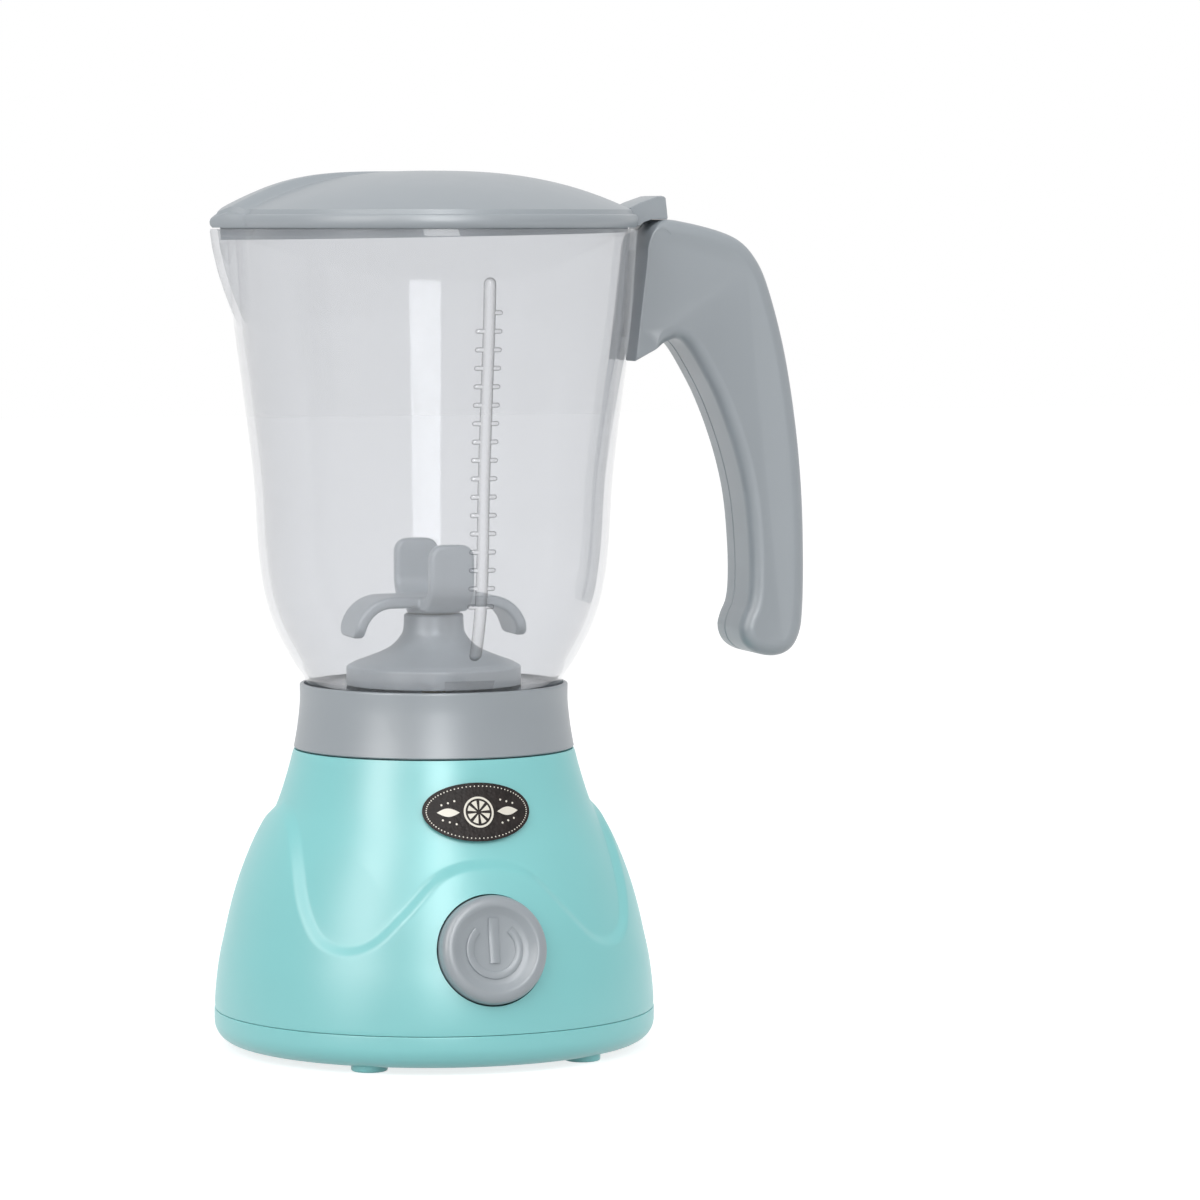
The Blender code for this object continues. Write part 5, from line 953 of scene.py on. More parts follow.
class TOYBLENDER_OT_badge(Operator):
    """Oval leather-look badge with a generic fruit slice, leaves and a dotted border"""

    bl_idname = "toyblender.badge"
    bl_label = "Badge"

    def execute(self, context):
        scene = context.scene
        button, look = scene.toy_blender_button, scene.toy_blender_finish
        half_width, half_height = button.badge_width / 2, button.badge_height / 2
        sides = 120

        def oval(share, lift):
            wide, tall = half_width * share, half_height * share
            return [
                badge_surface(scene, wide * math.cos(turn), tall * math.sin(turn), lift)
                for turn in (math.tau * side / sides for side in range(sides))
            ]

        rings = [[badge_surface(scene, 0, 0, GAP)], oval(0.5, GAP), oval(0.99, GAP), oval(1.0, GAP * 1.5)]
        rings += [oval(share, badge_lift(share)) for share in BADGE_SHARES]
        rings.append([badge_surface(scene, 0, 0, badge_lift(0))])
        plate = to_object("badge_plate", skin(rings))
        dress(plate, "base", leather("badge_leather", look.leather), ["badge"])

        drawing = bmesh.new()

        def shape(outline):
            """A thin raised patch with an outline of (across, up) pairs from the badge's middle."""
            rings = []
            for rise in (-PRINT_RISE, PRINT_RISE):
                ring = []
                for across, up in outline:
                    share = min(math.hypot(across / half_width, up / half_height), 1.0)
                    ring.append(badge_surface(scene, across, up, badge_lift(share) + rise))
                rings.append(ring)
            patch = skin(rings)
            bmesh.ops.triangulate(patch, faces=patch.faces)
            data = bpy.data.meshes.new("patch")
            patch.to_mesh(data)
            patch.free()
            drawing.from_mesh(data)
            bpy.data.meshes.remove(data)

        def dot(across, up, radius):
            shape(arc((across, up), radius, 0, math.tau * 7 / 8, 7))

        border_width, border_height = half_width * BORDER_ACROSS, half_height * BORDER_UP
        for index in range(BORDER_DOTS):
            turn = math.tau * index / BORDER_DOTS
            dot(border_width * math.cos(turn), border_height * math.sin(turn), BORDER_DOT)
        core, flesh = SLICE_RADIUS * 0.16, SLICE_RADIUS - 2 * SLICE_PEEL
        for index in range(SLICE_SEGMENTS):
            start, end = math.tau * index / SLICE_SEGMENTS, math.tau * (index + 1) / SLICE_SEGMENTS
            outer = arc((0, 0), SLICE_RADIUS, start, end, 8)
            inner = arc((0, 0), SLICE_RADIUS - SLICE_PEEL, end, start, 8)
            shape(outer + inner)
            middle = (start + end) / 2
            wedge = [(core * math.cos(middle), core * math.sin(middle))]
            shape(wedge + arc((0, 0), flesh, start + 2 * SLICE_LEAN, end - 2 * SLICE_LEAN, 6))
        for side in (-1, 1):
            leaf = []
            for way, shares in ((1, steps(0, 1, 16)), (-1, steps(1, 0, 16)[1:-1])):
                for share in shares:
                    across = side * (LEAF_START + LEAF_LENGTH * share)
                    leaf.append((across, way * LEAF_HALF_WIDTH * math.sin(math.pi * share)))
            shape(leaf)
            for step in range(3):
                across, up = BERRY_START + BERRY_STEP * step
                dot(side * across, up, BERRY_DOT)
                dot(side * across, -up, BERRY_DOT)
        printed = to_object("badge_print", drawing)
        cream = plastic("badge_cream", look.cream, 0.45, mottle=0.06)
        dress(printed, "base", cream)
        return {"FINISHED"}


BUTTON_PROUD = 2.82 * MM
BUTTON_DISH = 2.0 * MM
BUTTON_CREST = 3.4 * MM
BUTTON_SKIRT = 6.0 * MM
BUTTON_WALL = 1.4 * MM
BUTTON_ROOF = 1.9 * MM
BUTTON_STEM = 14.0 * MM
BUTTON_SPRING_RADIUS = 5.5 * MM
BUTTON_SPRING_WIRE = 0.4 * MM
BUTTON_SPRING_TURNS = 5
SYMBOL_RING = 1.85 * MM
SYMBOL_GAP = math.radians(41)
SYMBOL_BAR = 2.5 * MM
SYMBOL_BAR_TOP = 7.3 * MM
SYMBOL_BAR_LOW = -3.1 * MM


def button_profile(radius):
    """The button's face from its middle to its rim, as (radius, height) pairs."""
    crest, width = BUTTON_PROUD, BUTTON_CREST
    return (
        (0, crest - BUTTON_DISH),
        (radius * 0.35, crest - BUTTON_DISH * 0.94),
        (radius - width - BUTTON_WALL, crest - BUTTON_DISH * 0.62),
        (radius - width, crest - BUTTON_DISH * 0.25),
        (radius - width * 0.75, crest),
        (radius - width * 0.35, crest - BUTTON_DISH * 0.1),
        (radius - width * 0.08, crest - BUTTON_DISH * 0.5),
        (radius, crest - BUTTON_DISH),
    )


class TOYBLENDER_OT_power_button(Operator):
    """Gray push button with a dished face and a raised power symbol"""

    bl_idname = "toyblender.power_button"
    bl_label = "Power button"

    def execute(self, context):
        button = context.scene.toy_blender_button
        face = button_profile(button.radius)
        rim, under = button.radius, BUTTON_PROUD - BUTTON_DISH - BUTTON_ROOF
        profile = [(place, smooth_table(face, place)) for place in steps(0, rim, 44)]
        profile += [
            (rim, -BUTTON_SKIRT), (rim - BUTTON_WALL, -BUTTON_SKIRT), (rim - BUTTON_WALL, under),
            (STEM_RADIUS, under), (STEM_RADIUS, -BUTTON_STEM), (0, -BUTTON_STEM),
        ]
        cap = to_object("button_cap", lathe(profile, 160))

        def raised(rows):
            """A low relief over the dish from rows of (across, up, share of the rise) points."""
            tops, lows = [], []
            for row in rows:
                tops.append([
                    Vector((x, y, smooth_table(face, math.hypot(x, y)) + button.symbol_rise * share))
                    for x, y, share in row
                ])
                lows.append([
                    Vector((x, y, smooth_table(face, math.hypot(x, y)) - GAP)) for x, y, share in row
                ])
            return skin([top + low[::-1] for top, low in zip(tops, lows)])

        across_shares = ((0.0, -0.5), (0.04, 0.7), (0.14, 1.0), (0.86, 1.0), (0.96, 0.7), (1.0, -0.5))
        ring_rows = []
        for turn in steps(QUARTER + SYMBOL_GAP, math.pi * 2.5 - SYMBOL_GAP, 90):
            row = []
            for share, rise in across_shares:
                out = button.symbol - SYMBOL_RING * share
                row.append((out * math.cos(turn), out * math.sin(turn), rise))
            ring_rows.append(row)
        bar_rows = [
            [(SYMBOL_BAR * (share - 0.5), up, rise) for share, rise in across_shares]
            for up in steps(SYMBOL_BAR_LOW, SYMBOL_BAR_TOP, 20)
        ]
        join(cap, raised(ring_rows), raised(bar_rows))
        cap.data.transform(button_frame(context.scene))
        dress(cap, "button", gray(), ["power_button"], crease=38)
        self.spring(context.scene, -WELL_DEPTH + GAP, under - GAP)
        return {"FINISHED"}

    def spring(self, scene, low, high):
        """Return spring behind the button, built at its length with the button out; the real spring shortens
        as the button goes in.
        """
        where = button_frame(scene)
        mesh = wound(BUTTON_SPRING_RADIUS, BUTTON_SPRING_WIRE, low, high, BUTTON_SPRING_TURNS)
        coil = to_object("button_return_coil", moved(mesh, where))
        dress(coil, "base", steel(), ["button_spring"], crease=70)
        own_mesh(coil)


# Jar

SPOUT_REACH = AXIS.x - JAR_LOW.x - (LID_HIGH.y - AXIS.y)
SPOUT_POWER = 1.7
RAIL_LOW = 88.5 * MM
RAIL_HIGH = 109.0 * MM
RAIL_NECK = 1.2 * MM
RAIL_FLANGE = 4.0 * MM
RAIL_DEPTH = 1.8 * MM
HANDLE_WALL = 2.2 * MM
HANDLE_NEAR_X = 47.1 * MM
RIB_LOW = 13.9 * MM
RIB_HIGH = 103.5 * MM
RIB_ZONE = 6 * MM
RIB_PROUD = 0.02 * MM
TICK_LOW = 108.0 * MM
JAR_COLUMNS = 232
JAR_SPOUT_COLUMNS = 24
LID_SPOUT_COLUMNS = 40


def jar_radius(jar, height):
    """The jar's outer radius at a height above its foot."""
    tall = JAR_HIGH.z - JAR_LOW.z
    return jar.foot_radius + smooth_table(JAR_SHARES, height / tall) * (jar.rim_radius - jar.foot_radius)


def jar_inner_radius(jar, height):
    step = jar.wall / 2
    slope = (jar_radius(jar, height + step) - jar_radius(jar, height - step)) / (2 * step)
    return jar_radius(jar, height) - jar.wall * math.hypot(1, slope)


def spout_lift(jar, angle, fade):
    """How far the spout stands out at an angle from +X, where fade is 1 at the rim."""
    turn = abs(math.atan2(math.sin(angle - math.pi), math.cos(angle - math.pi)))
    share = max(0.0, 1 - turn * jar.rim_radius / jar.spout_half_width)
    return SPOUT_REACH * fade * (0.75 * share + 0.25 * soft_step(share))


def spout_fade(jar, height):
    down = (JAR_HIGH.z - JAR_LOW.z - height) / jar.spout_length
    return 0.0 if down >= 1 else 1 - down ** SPOUT_POWER


def jar_angles(jar, fine):
    """Columns round the jar, closer together at the spout, where there are as many as fine says."""
    reach = jar.spout_half_width / jar.rim_radius
    near = steps(math.pi - reach, math.pi + reach, fine)[:-1]
    far = steps(math.pi + reach, 3 * math.pi - reach, JAR_COLUMNS)[:-1]
    return near + far


def jar_ring(jar, radius, height, angles, fade):
    ring = []
    for angle in angles:
        out = radius + spout_lift(jar, angle, fade)
        ring.append(Vector((out * math.cos(angle), out * math.sin(angle), JAR_LOW.z + height)))
    return ring


def handle_point(share):
    """A place (across, up) on the handle's side from its shares of depth and length."""
    low, high = HANDLE_NEAR_LOW, HANDLE_NEAR_HIGH
    top_share = max(up for across, up in HANDLE_SHARES)
    return Vector((
        HANDLE_NEAR_X + share[0] * (high.x - AXIS.x - HANDLE_NEAR_X),
        high.z - (top_share - share[1]) * (high.z - low.z) / top_share,
    ))


def handle_edge(height):
    """The X of the handle's end face, beside the jar."""
    low, high = handle_point(HANDLE_SHARES[0]), handle_point(HANDLE_SHARES[2])
    return low.x + (high.x - low.x) * (height - low.y) / (high.y - low.y)


class TOYBLENDER_OT_jar(Operator):
    """Clear jar with its spout, the measuring rib and its ticks, and the handle's rail"""

    bl_idname = "toyblender.jar"
    bl_label = "Jar"

    def execute(self, context):
        jar, look = context.scene.toy_blender_jar, context.scene.toy_blender_finish
        tall = JAR_HIGH.z - JAR_LOW.z
        angles = jar_angles(jar, JAR_SPOUT_COLUMNS)
        rim = 0.5 * MM
        heights = steps(tall - rim, 0.056 * tall, 84)
        rings = [
            jar_ring(jar, jar_radius(jar, height), height, angles, spout_fade(jar, height))
            for height in heights
        ]
        foot_inner, floor_under, floor_top = jar.foot_radius - jar.wall, 3.6 * MM, 5.6 * MM
        hole = 3.5 * MM
        rings += [
            jar_ring(jar, jar.foot_radius, rim, angles, 0),
            jar_ring(jar, jar.foot_radius - rim, 0, angles, 0),
            jar_ring(jar, foot_inner, 0, angles, 0),
            jar_ring(jar, foot_inner, floor_under, angles, 0),
            jar_ring(jar, hole, floor_under, angles, 0),
            jar_ring(jar, hole, floor_top, angles, 0),
        ]
        start = 0.1 * tall
        floor_edge = foot_inner * 0.9
        for share in steps(0, 1, 8):
            turn = share * QUARTER
            out = floor_edge + (jar_inner_radius(jar, start) - floor_edge) * math.sin(turn)
            height = floor_top + (start - floor_top) * (1 - math.cos(turn))
            rings.append(jar_ring(jar, out, height, angles, 0))
        for height in steps(start, tall - rim, 80)[1:]:
            fade = spout_fade(jar, height)
            rings.append(jar_ring(jar, jar_inner_radius(jar, height), height, angles, fade))
        rings.append(jar_ring(jar, jar_inner_radius(jar, tall) + rim * 0.4, tall, angles, 1))
        rings.append(jar_ring(jar, jar_radius(jar, tall) - rim * 0.4, tall, angles, 1))
        cup = to_object("jar_cup", skin(rings, closed=True))
        join(cup, self.rib(jar), *self.ticks(jar), *self.rail(jar))
        # The wall's tint darkens a little where it is seen aslant: partly the longer path through the tint,
        # partly a painted outline standing in for refraction.
        wall_finish = clear_plastic("clear_plastic_finish", look.clear, 3.0, 0.86)
        dress(cup, "jar", wall_finish, ["jar_body"], crease=40)
        # The rib's tint goes near black where it is seen edge on: a painted outline standing in for the
        # refraction of a clear round rod.
        cup.data.materials.append(clear_plastic("clear_rib_finish", (0.97, 0.97, 0.98), 0.9, 0.02))
        for face in cup.data.polygons:
            x, y, z = face.center
            proud = math.hypot(x, y) - jar_radius(jar, z - JAR_LOW.z)
            if y < -jar.rib_radius and abs(x) < RIB_ZONE and proud > RIB_PROUD:
                face.material_index = 1
        return {"FINISHED"}

    def rib(self, jar):
        """Half-round rib down the front of the wall, with rounded ends."""
        sides, sink = 20, 0.35 * MM
        rings = []
        turns = steps(0.15, QUARTER, 5)
        tip = [(jar.rib_radius * (1 - math.cos(turn)), math.sin(turn)) for turn in turns]
        straight = steps(RIB_LOW + jar.rib_radius, RIB_HIGH - jar.rib_radius, 60)[1:-1]
        places = [(RIB_LOW + along, share) for along, share in tip]
        places += [(height, 1) for height in straight]
        places += [(RIB_HIGH - along, share) for along, share in reversed(tip)]
        for height, share in places:
            thick = jar.rib_radius * share
            out = jar_radius(jar, height) - sink
            rings.append([
                Vector((thick * math.cos(turn), -out - thick * math.sin(turn), JAR_LOW.z + height))
                for turn in (math.tau * side / sides for side in range(sides))
            ])
        return skin(rings)

    def ticks(self, jar):
        """Small rounded bars in two rows beside the rib."""
        made = []
        half, reach = jar.tick_radius, jar.rib_radius * 0.6 + jar.tick_length
        turns = steps(QUARTER, 0.2, 3)
        profile = [(half, -reach)] + [(half * math.sin(turn), -half * (1 - math.cos(turn))) for turn in turns]
        for side, count in ((1, jar.ticks), (-1, jar.ticks - 1)):
            for index in range(count):
                height = TICK_LOW - JAR_LOW.z + index * jar.tick_pitch
                out = jar_radius(jar, height)
                bar = []
                for thick, along in profile:
                    bar.append([
                        Vector((along, thick * math.cos(turn), thick * math.sin(turn)))
                        for turn in (math.tau * step / 12 for step in range(12))
                    ])
                turn = -QUARTER + side * reach / out
                place = Matrix.Translation((out * math.cos(turn), out * math.sin(turn), JAR_LOW.z + height))
                spin = Matrix.Rotation(turn + QUARTER, 4, "Z")
                flip = Matrix.Rotation(0 if side > 0 else math.pi, 4, "Z")
                made.append(moved(skin(bar), place @ spin @ flip))
        return made

    def rail(self, jar):
        """Neck and flange of the T rail that the handle grips."""
        low, high = JAR_LOW.z + RAIL_LOW, JAR_LOW.z + RAIL_HIGH
        behind = HANDLE_WALL + GAP
        wall = jar.wall / 2
        root = [(jar_radius(jar, RAIL_LOW) - wall, low), (jar_radius(jar, RAIL_HIGH) - wall, high)]
        face = [(handle_edge(height) + behind, height) for height in (low, high)]
        middle = [(x + RAIL_DEPTH / 2, z) for x, z in face]
        back = [(x + RAIL_DEPTH, z) for x, z in face]
        neck = side_prism((root[0], middle[0], middle[1], root[1]), -RAIL_NECK, RAIL_NECK)
        flange = side_prism((face[0], back[0], back[1], face[1]), -RAIL_FLANGE, RAIL_FLANGE)
        return [neck, flange]


# Blades

BLADE_NECK_RADIUS = 7.1 * MM
BLADE_RIM = 4.0 * MM
BUSH_RADIUS = 3.1 * MM
HUB_RADIUS = 6.5 * MM
ARM_THICKNESS = 2.7 * MM
ARM_WIDTH = 15.5 * MM
ARM_DROP = 9.8 * MM
ARM_BEND = 8.0 * MM
ARM_TOP = 4.5 * MM
PADDLE_THICKNESS = 3.2 * MM
PADDLE_WIDTH = 10.9 * MM
PADDLE_BEND = 6.0 * MM
BLADE_CORNER = 3.2 * MM
BLADE_END_SHARES = (0.15, 0.3, 0.45, 0.6, 0.7, 0.8, 0.88, 0.94, 0.98, 1)
# The blade base's slope: share of the way out from its neck, and share of its height
CONE_SHARES = (
    (0.86, 0.10), (0.68, 0.17), (0.52, 0.235), (0.36, 0.31), (0.22, 0.40), (0.10, 0.53), (0.02, 0.68),
)


class TOYBLENDER_OT_blade_base(Operator):
    """Gray cone on the jar's floor that carries the blades"""

    bl_idname = "toyblender.blade_base"
    bl_label = "Blade base"

    def execute(self, context):
        low, top = BLADE_BASE_LOW.z, BLADE_BASE_HIGH.z
        rim = (BLADE_BASE_HIGH.x - BLADE_BASE_LOW.x) / 2
        rim_top, span = low + BLADE_RIM, rim - BLADE_NECK_RADIUS
        rise = top - rim_top
        edge = 0.8 * MM
        slope = [Vector((BLADE_NECK_RADIUS + span * out, rim_top + rise * up)) for out, up in CONE_SHARES]
        slope = [Vector((rim - edge, rim_top + edge * 0.75))] + slope
        slope.append(Vector((BLADE_NECK_RADIUS, top - edge * 0.5)))
        profile = [(rim, low)] + arc((rim - edge, rim_top - edge * 0.25), edge, 0, QUARTER, 6)
        profile += [tuple(point) for point in smooth_line(slope, 5)[1:]]
        profile += [
            (BLADE_NECK_RADIUS - edge * 0.5, top), (BUSH_RADIUS, top), (BUSH_RADIUS, rim_top),
            (rim - OVERRUN, rim_top - OVERRUN), (rim - OVERRUN, low),
        ]
        base = to_object("blade_cone", lathe(profile, 160, closed=True))
        dress(base, "jar", blade_gray_painted_light(), ["blade_base"])
        return {"FINISHED"}


def blade_path(reach, level, rise, bend):
    """Half of a blade's path: level, then up or down round a quarter bend to its end."""
    way = 1 if rise > 0 else -1
    path = [(reach - bend, level)]
    path += [
        (reach - bend + bend * math.sin(turn), level + way * bend * (1 - math.cos(turn)))
        for turn in steps(0, QUARTER, 14)
    ]
    straight = abs(rise) - bend
    path += [(reach, level + way * (bend + share * straight)) for share in BLADE_END_SHARES]
    return path


def blade_strip(path, thickness, width, along_x):
    """A strip bent alike at both ends, with rounded edges and rounded corners."""
    points = [(-out, height) for out, height in reversed(path)] + list(path)
    travelled = [0.0]
    for low, high in zip(points, points[1:]):
        travelled.append(travelled[-1] + math.hypot(high[0] - low[0], high[1] - low[1]))
    last = len(points) - 1
    soft = thickness * 0.3
    rings = []
    for index, (out, height) in enumerate(points):
        before, after = points[max(index - 1, 0)], points[min(index + 1, last)]
        slope = Vector((after[0] - before[0], after[1] - before[1])).normalized()
        normal = Vector((-slope.y, slope.x))
        to_end = min(travelled[index], travelled[-1] - travelled[index])
        left = max(BLADE_CORNER - to_end, 0.0)
        half_width = width / 2 - BLADE_CORNER + math.sqrt(max(BLADE_CORNER ** 2 - left ** 2, 0.0))
        thin = max(soft - to_end, 0.0)
        half_thick = thickness / 2 - soft + math.sqrt(max(soft ** 2 - thin ** 2, 0.0))
        ring = []
        for corner, (x, y) in enumerate(CORNER_SIGNS):
            centre = (x * (half_width - soft), y * max(half_thick - soft, 0.0))
            start = corner * QUARTER
            for across, up in arc(centre, min(soft, half_thick), start, start + QUARTER, 4):
                far, tall = out + normal.x * up, height + normal.y * up
                ring.append(Vector((far, across, tall)) if along_x else Vector((across, far, tall)))
        rings.append(ring)
    return skin(rings)


class TOYBLENDER_OT_blade_rotor(Operator):
    """Gray rotor with two arms bent down and two paddles bent up"""

    bl_idname = "toyblender.blade_rotor"
    bl_label = "Blade rotor"

    def execute(self, context):
        hub_low = BLADE_BASE_HIGH.z + GAP
        hub_top = BLADE_BASE_HIGH.z + ARM_TOP
        level = hub_top - ARM_THICKNESS / 2
        reach = (ROTOR_HIGH.x - ROTOR_LOW.x) / 2
        paddle_reach = (ROTOR_HIGH.y - ROTOR_LOW.y) / 2
        paddle_level = hub_top - PADDLE_THICKNESS / 2 - GAP
        rise = ROTOR_HIGH.z - paddle_level
        arm = blade_path(reach - ARM_THICKNESS / 2, level, -ARM_DROP + ARM_THICKNESS / 2, ARM_BEND)
        paddle = blade_path(paddle_reach - PADDLE_THICKNESS / 2, paddle_level, rise, PADDLE_BEND)
        rotor = to_object("rotor_blades", blade_strip(arm, ARM_THICKNESS, ARM_WIDTH, True))
        hub = lathe([(0, hub_low), (HUB_RADIUS, hub_low), (HUB_RADIUS, level), (0, level)], 64)
        join(rotor, hub, blade_strip(paddle, PADDLE_THICKNESS, PADDLE_WIDTH, False))
        grid = rotor.modifiers.new("grid", "REMESH")
        grid.mode = "VOXEL"
        grid.voxel_size = 0.28 * MM
        even = rotor.modifiers.new("even", "SMOOTH")
        even.factor = 0.5
        even.iterations = 5
        bake_modifiers(rotor)
        dress(rotor, "rotor", blade_gray_painted_light(), ["blade_rotor"], crease=60)
        return {"FINISHED"}


COUPLING_LOBES = 6
COUPLING_STAR_RADIUS = 5.6 * MM
COUPLING_LOBE = 0.9 * MM
COUPLING_CLEARANCE = 0.35 * MM
COUPLING_STAR = 3.0 * MM
COUPLING_HUB = 3.6 * MM
SHAFT_HOLE = 1.6 * MM


def star(grow):
    """Six-lobed outline of the coupling."""
    outline = []
    for index in range(COUPLING_LOBES * 16):
        turn = math.tau * index / (COUPLING_LOBES * 16)
        radius = COUPLING_STAR_RADIUS + grow + COUPLING_LOBE * math.cos(COUPLING_LOBES * turn)
        outline.append((radius * math.cos(turn), radius * math.sin(turn)))
    return outline


class TOYBLENDER_OT_couplings(Operator):
    """Star on the drive's shaft and the cup under the jar that fits over it"""

    bl_idname = "toyblender.couplings"
    bl_label = "Couplings"

    def execute(self, context):
        radius = (DRIVE_HIGH.x - DRIVE_LOW.x) / 2
        edge = 0.4 * MM
        disc_top = DRIVE_HIGH.z - COUPLING_STAR
        disc = [
            (0, DRIVE_LOW.z), (radius, DRIVE_LOW.z), (radius, disc_top - edge),
            (radius - edge, disc_top), (0, disc_top),
        ]
        drive = to_object("drive_star", lathe(disc, 96))
        join(drive, prism(star(0.0), disc_top - edge, DRIVE_HIGH.z))
        cut(drive, rod(SHAFT_HOLE, DRIVE_LOW.z - OVERRUN, disc_top, 32))
        dress(drive, "drive", natural(), ["drive_coupling"])
        low, high = DRIVEN_LOW.z, DRIVEN_HIGH.z
        hub = [
            (0, low), (radius - edge, low), (radius, low + edge),
            (radius, high - edge), (radius - edge, high), (0, high),
        ]
        cup = to_object("driven_cup", lathe(hub, 96))
        cavity_top = high - COUPLING_HUB
        cut(
            cup,
            prism(star(COUPLING_CLEARANCE), low - OVERRUN, cavity_top),
            rod(SHAFT_HOLE, cavity_top - OVERRUN, high + OVERRUN, 32),
        )
        dress(cup, "rotor", natural(), ["driven_coupling"])
        return {"FINISHED"}


# Lid

LID_UNDER = JAR_HIGH.z + GAP
LID_EDGE_HEIGHT = 3.9 * MM
LID_RISE = 10.1 * MM
LID_POWER = 2.5
LID_ROUND = 0.8 * MM
# The rolled bead round the lid: how far in from the rim, and the share of the edge's height
BEAD_DEPTH = 1.25 * MM
BEAD_SHARES = (
    (1.0, 0.93), (0.62, 0.93), (0.3, 0.86), (0.1, 0.72),
    (0.0, 0.54), (0.02, 0.36), (0.14, 0.19), (0.38, 0.07),
)
PLUG_CLEARANCE = 0.6 * MM
PLUG_TILT = 1.8 * MM
RIDGE_START = 7.0 * MM
RIDGE_FLANK_SHARE = 0.72
TAB_WIDTH = 14.0 * MM
TAB_HEIGHT = 7.6 * MM
TAB_WEB = 2.4 * MM


def lid_height(jar, top, x, y):
    """Height of the lid's top: a dome, with a ridge that widens toward the spout."""
    dome = LID_HIGH.z - LID_RISE * (math.hypot(x, y) / jar.rim_radius) ** LID_POWER
    if x >= -RIDGE_START:
        return dome
    run = (-x - RIDGE_START) / (jar.rim_radius - RIDGE_START)
    half = jar.spout_half_width * min(run, 1.0)
    flank = 1 - soft_step((abs(y) / half - RIDGE_FLANK_SHARE + 0.35) / 0.65) if half > 0 else 0.0
    return dome + top.ridge * soft_step(run * 1.25) * flank


class TOYBLENDER_OT_lid(Operator):
    """Gray domed lid with a ridge over the spout, a plug skirt and a thumb tab"""

    bl_idname = "toyblender.lid"
    bl_label = "Lid"

    def execute(self, context):
        jar, top = context.scene.toy_blender_jar, context.scene.toy_blender_top
        angles = jar_angles(jar, LID_SPOUT_COLUMNS)
        rim, low = jar.rim_radius, LID_UNDER
        plug = rim - jar.wall - PLUG_CLEARANCE

        def outline(share, drop=0.0):
            ring = []
            for angle in angles:
                out = (rim + spout_lift(jar, angle, 1.0)) * share
                x, y = out * math.cos(angle), out * math.sin(angle)
                ring.append(Vector((x, y, lid_height(jar, top, x, y) - drop)))
            return ring

        def level(radius, height, reach=0.0):
            ring = []
            for angle in angles:
                out = radius + spout_lift(jar, angle, 1.0) * reach
                x, y = out * math.cos(angle), out * math.sin(angle)
                ring.append(Vector((x, y, height(x))))
            return ring

        def plug_low(x):
            return LID_LOW.z + PLUG_TILT * (x + plug) / (2 * plug)

        def under(share):
            out, height = rim * share, LID_HIGH.z - LID_RISE * share ** LID_POWER - top.lid_wall
            return [Vector((out * math.cos(angle), out * math.sin(angle), height)) for angle in angles]

        rings = [[Vector((0, 0, LID_HIGH.z))]]
        rings += [outline(share) for share in steps(0.04, 1 - 1.4 * BEAD_DEPTH / rim, 44)]
        top_edge = outline(1)
        for drawn, share in BEAD_SHARES:
            ring = []
            for angle, above in zip(angles, top_edge):
                out = rim - BEAD_DEPTH * drawn + spout_lift(jar, angle, 1.0)
                height = low + (above.z - low) * share
                ring.append(Vector((out * math.cos(angle), out * math.sin(angle), height)))
            rings.append(ring)
        rings += [
            level(rim - 2 * GAP, lambda x: low, 1.0),
            level(plug, lambda x: low, 1.0),
            level(plug, plug_low, 0.97),
            level(plug - top.lid_wall, plug_low, 0.8),
        ]
        rings += [under(share) for share in steps((plug - top.lid_wall) / rim, 0.04, 24)]
        rings.append([Vector((0, 0, LID_HIGH.z - top.lid_wall))])
        lid = to_object("lid_dome", skin(rings))
        join(lid, self.tab(rim, low))
        dress(lid, "lid", gray(), ["lid"], crease=28)
        return {"FINISHED"}

    def tab(self, rim, low):
        """Thumb tab over the handle, with soft corners."""
        reach = LID_HIGH.x - AXIS.x - rim
        high, web = low + TAB_HEIGHT, TAB_WEB
        over_handle = HANDLE_NEAR_HIGH.z + GAP / 2
        edge = LID_EDGE_HEIGHT + LID_ROUND
        outline = [
            (rim - OVERRUN, low + GAP),
            (rim - OVERRUN, low + edge),
            (rim + reach * 0.1, low + edge + reach * 0.17),
            (rim + reach * 0.66, high - LID_ROUND * 0.1),
            (rim + reach * 0.80, high),
            (rim + reach * 0.88, high - LID_ROUND * 0.2),
            (rim + reach * 0.93, high - LID_ROUND * 0.7),
            (rim + reach, over_handle + GAP),
            (rim + reach * 0.97, over_handle),
            (rim + reach * 0.5, over_handle),
            (rim + reach * 0.2, over_handle - web * 0.3),
            (rim + GAP, low + GAP),
        ]
        soft = 1.0 * MM
        rings = []
        middle = Vector((sum(x for x, z in outline), sum(z for x, z in outline))) / len(outline)
        for depth, drawn in ((0, 0.94), (0.12, 0.965), (0.4, 0.99), (1, 1)):
            side = -TAB_WIDTH / 2 + soft * depth
            rings.append([(middle + (Vector(point) - middle) * drawn, side) for point in outline])
        rings += [[(point, -depth) for point, depth in ring] for ring in reversed(rings)]
        return skin([[Vector((point.x, depth, point.y)) for point, depth in ring] for ring in rings])


# Handle

HANDLE_SEAM = HANDLE_NEAR_HIGH.y - AXIS.y + 0.15 * MM
SCREW_SINK = 3.4 * MM


def drawn_in(points, distances):
    """The closed outline drawn in, square to itself, by a distance for each point."""
    count = len(points)
    area = sum(points[i - 1].x * points[i].y - points[i].x * points[i - 1].y for i in range(count))
    way = 1 if area > 0 else -1
    result = []
    for index, distance in enumerate(distances):
        before, here, after = (points[(index + step) % count] for step in (-1, 0, 1))
        first, second = (here - before).normalized(), (after - here).normalized()
        first, second = Vector((-first.y, first.x)), Vector((-second.y, second.x))
        inward = (first + second).normalized()
        result.append(here + inward * way * distance / max(inward.dot(first), 0.5))
    return result


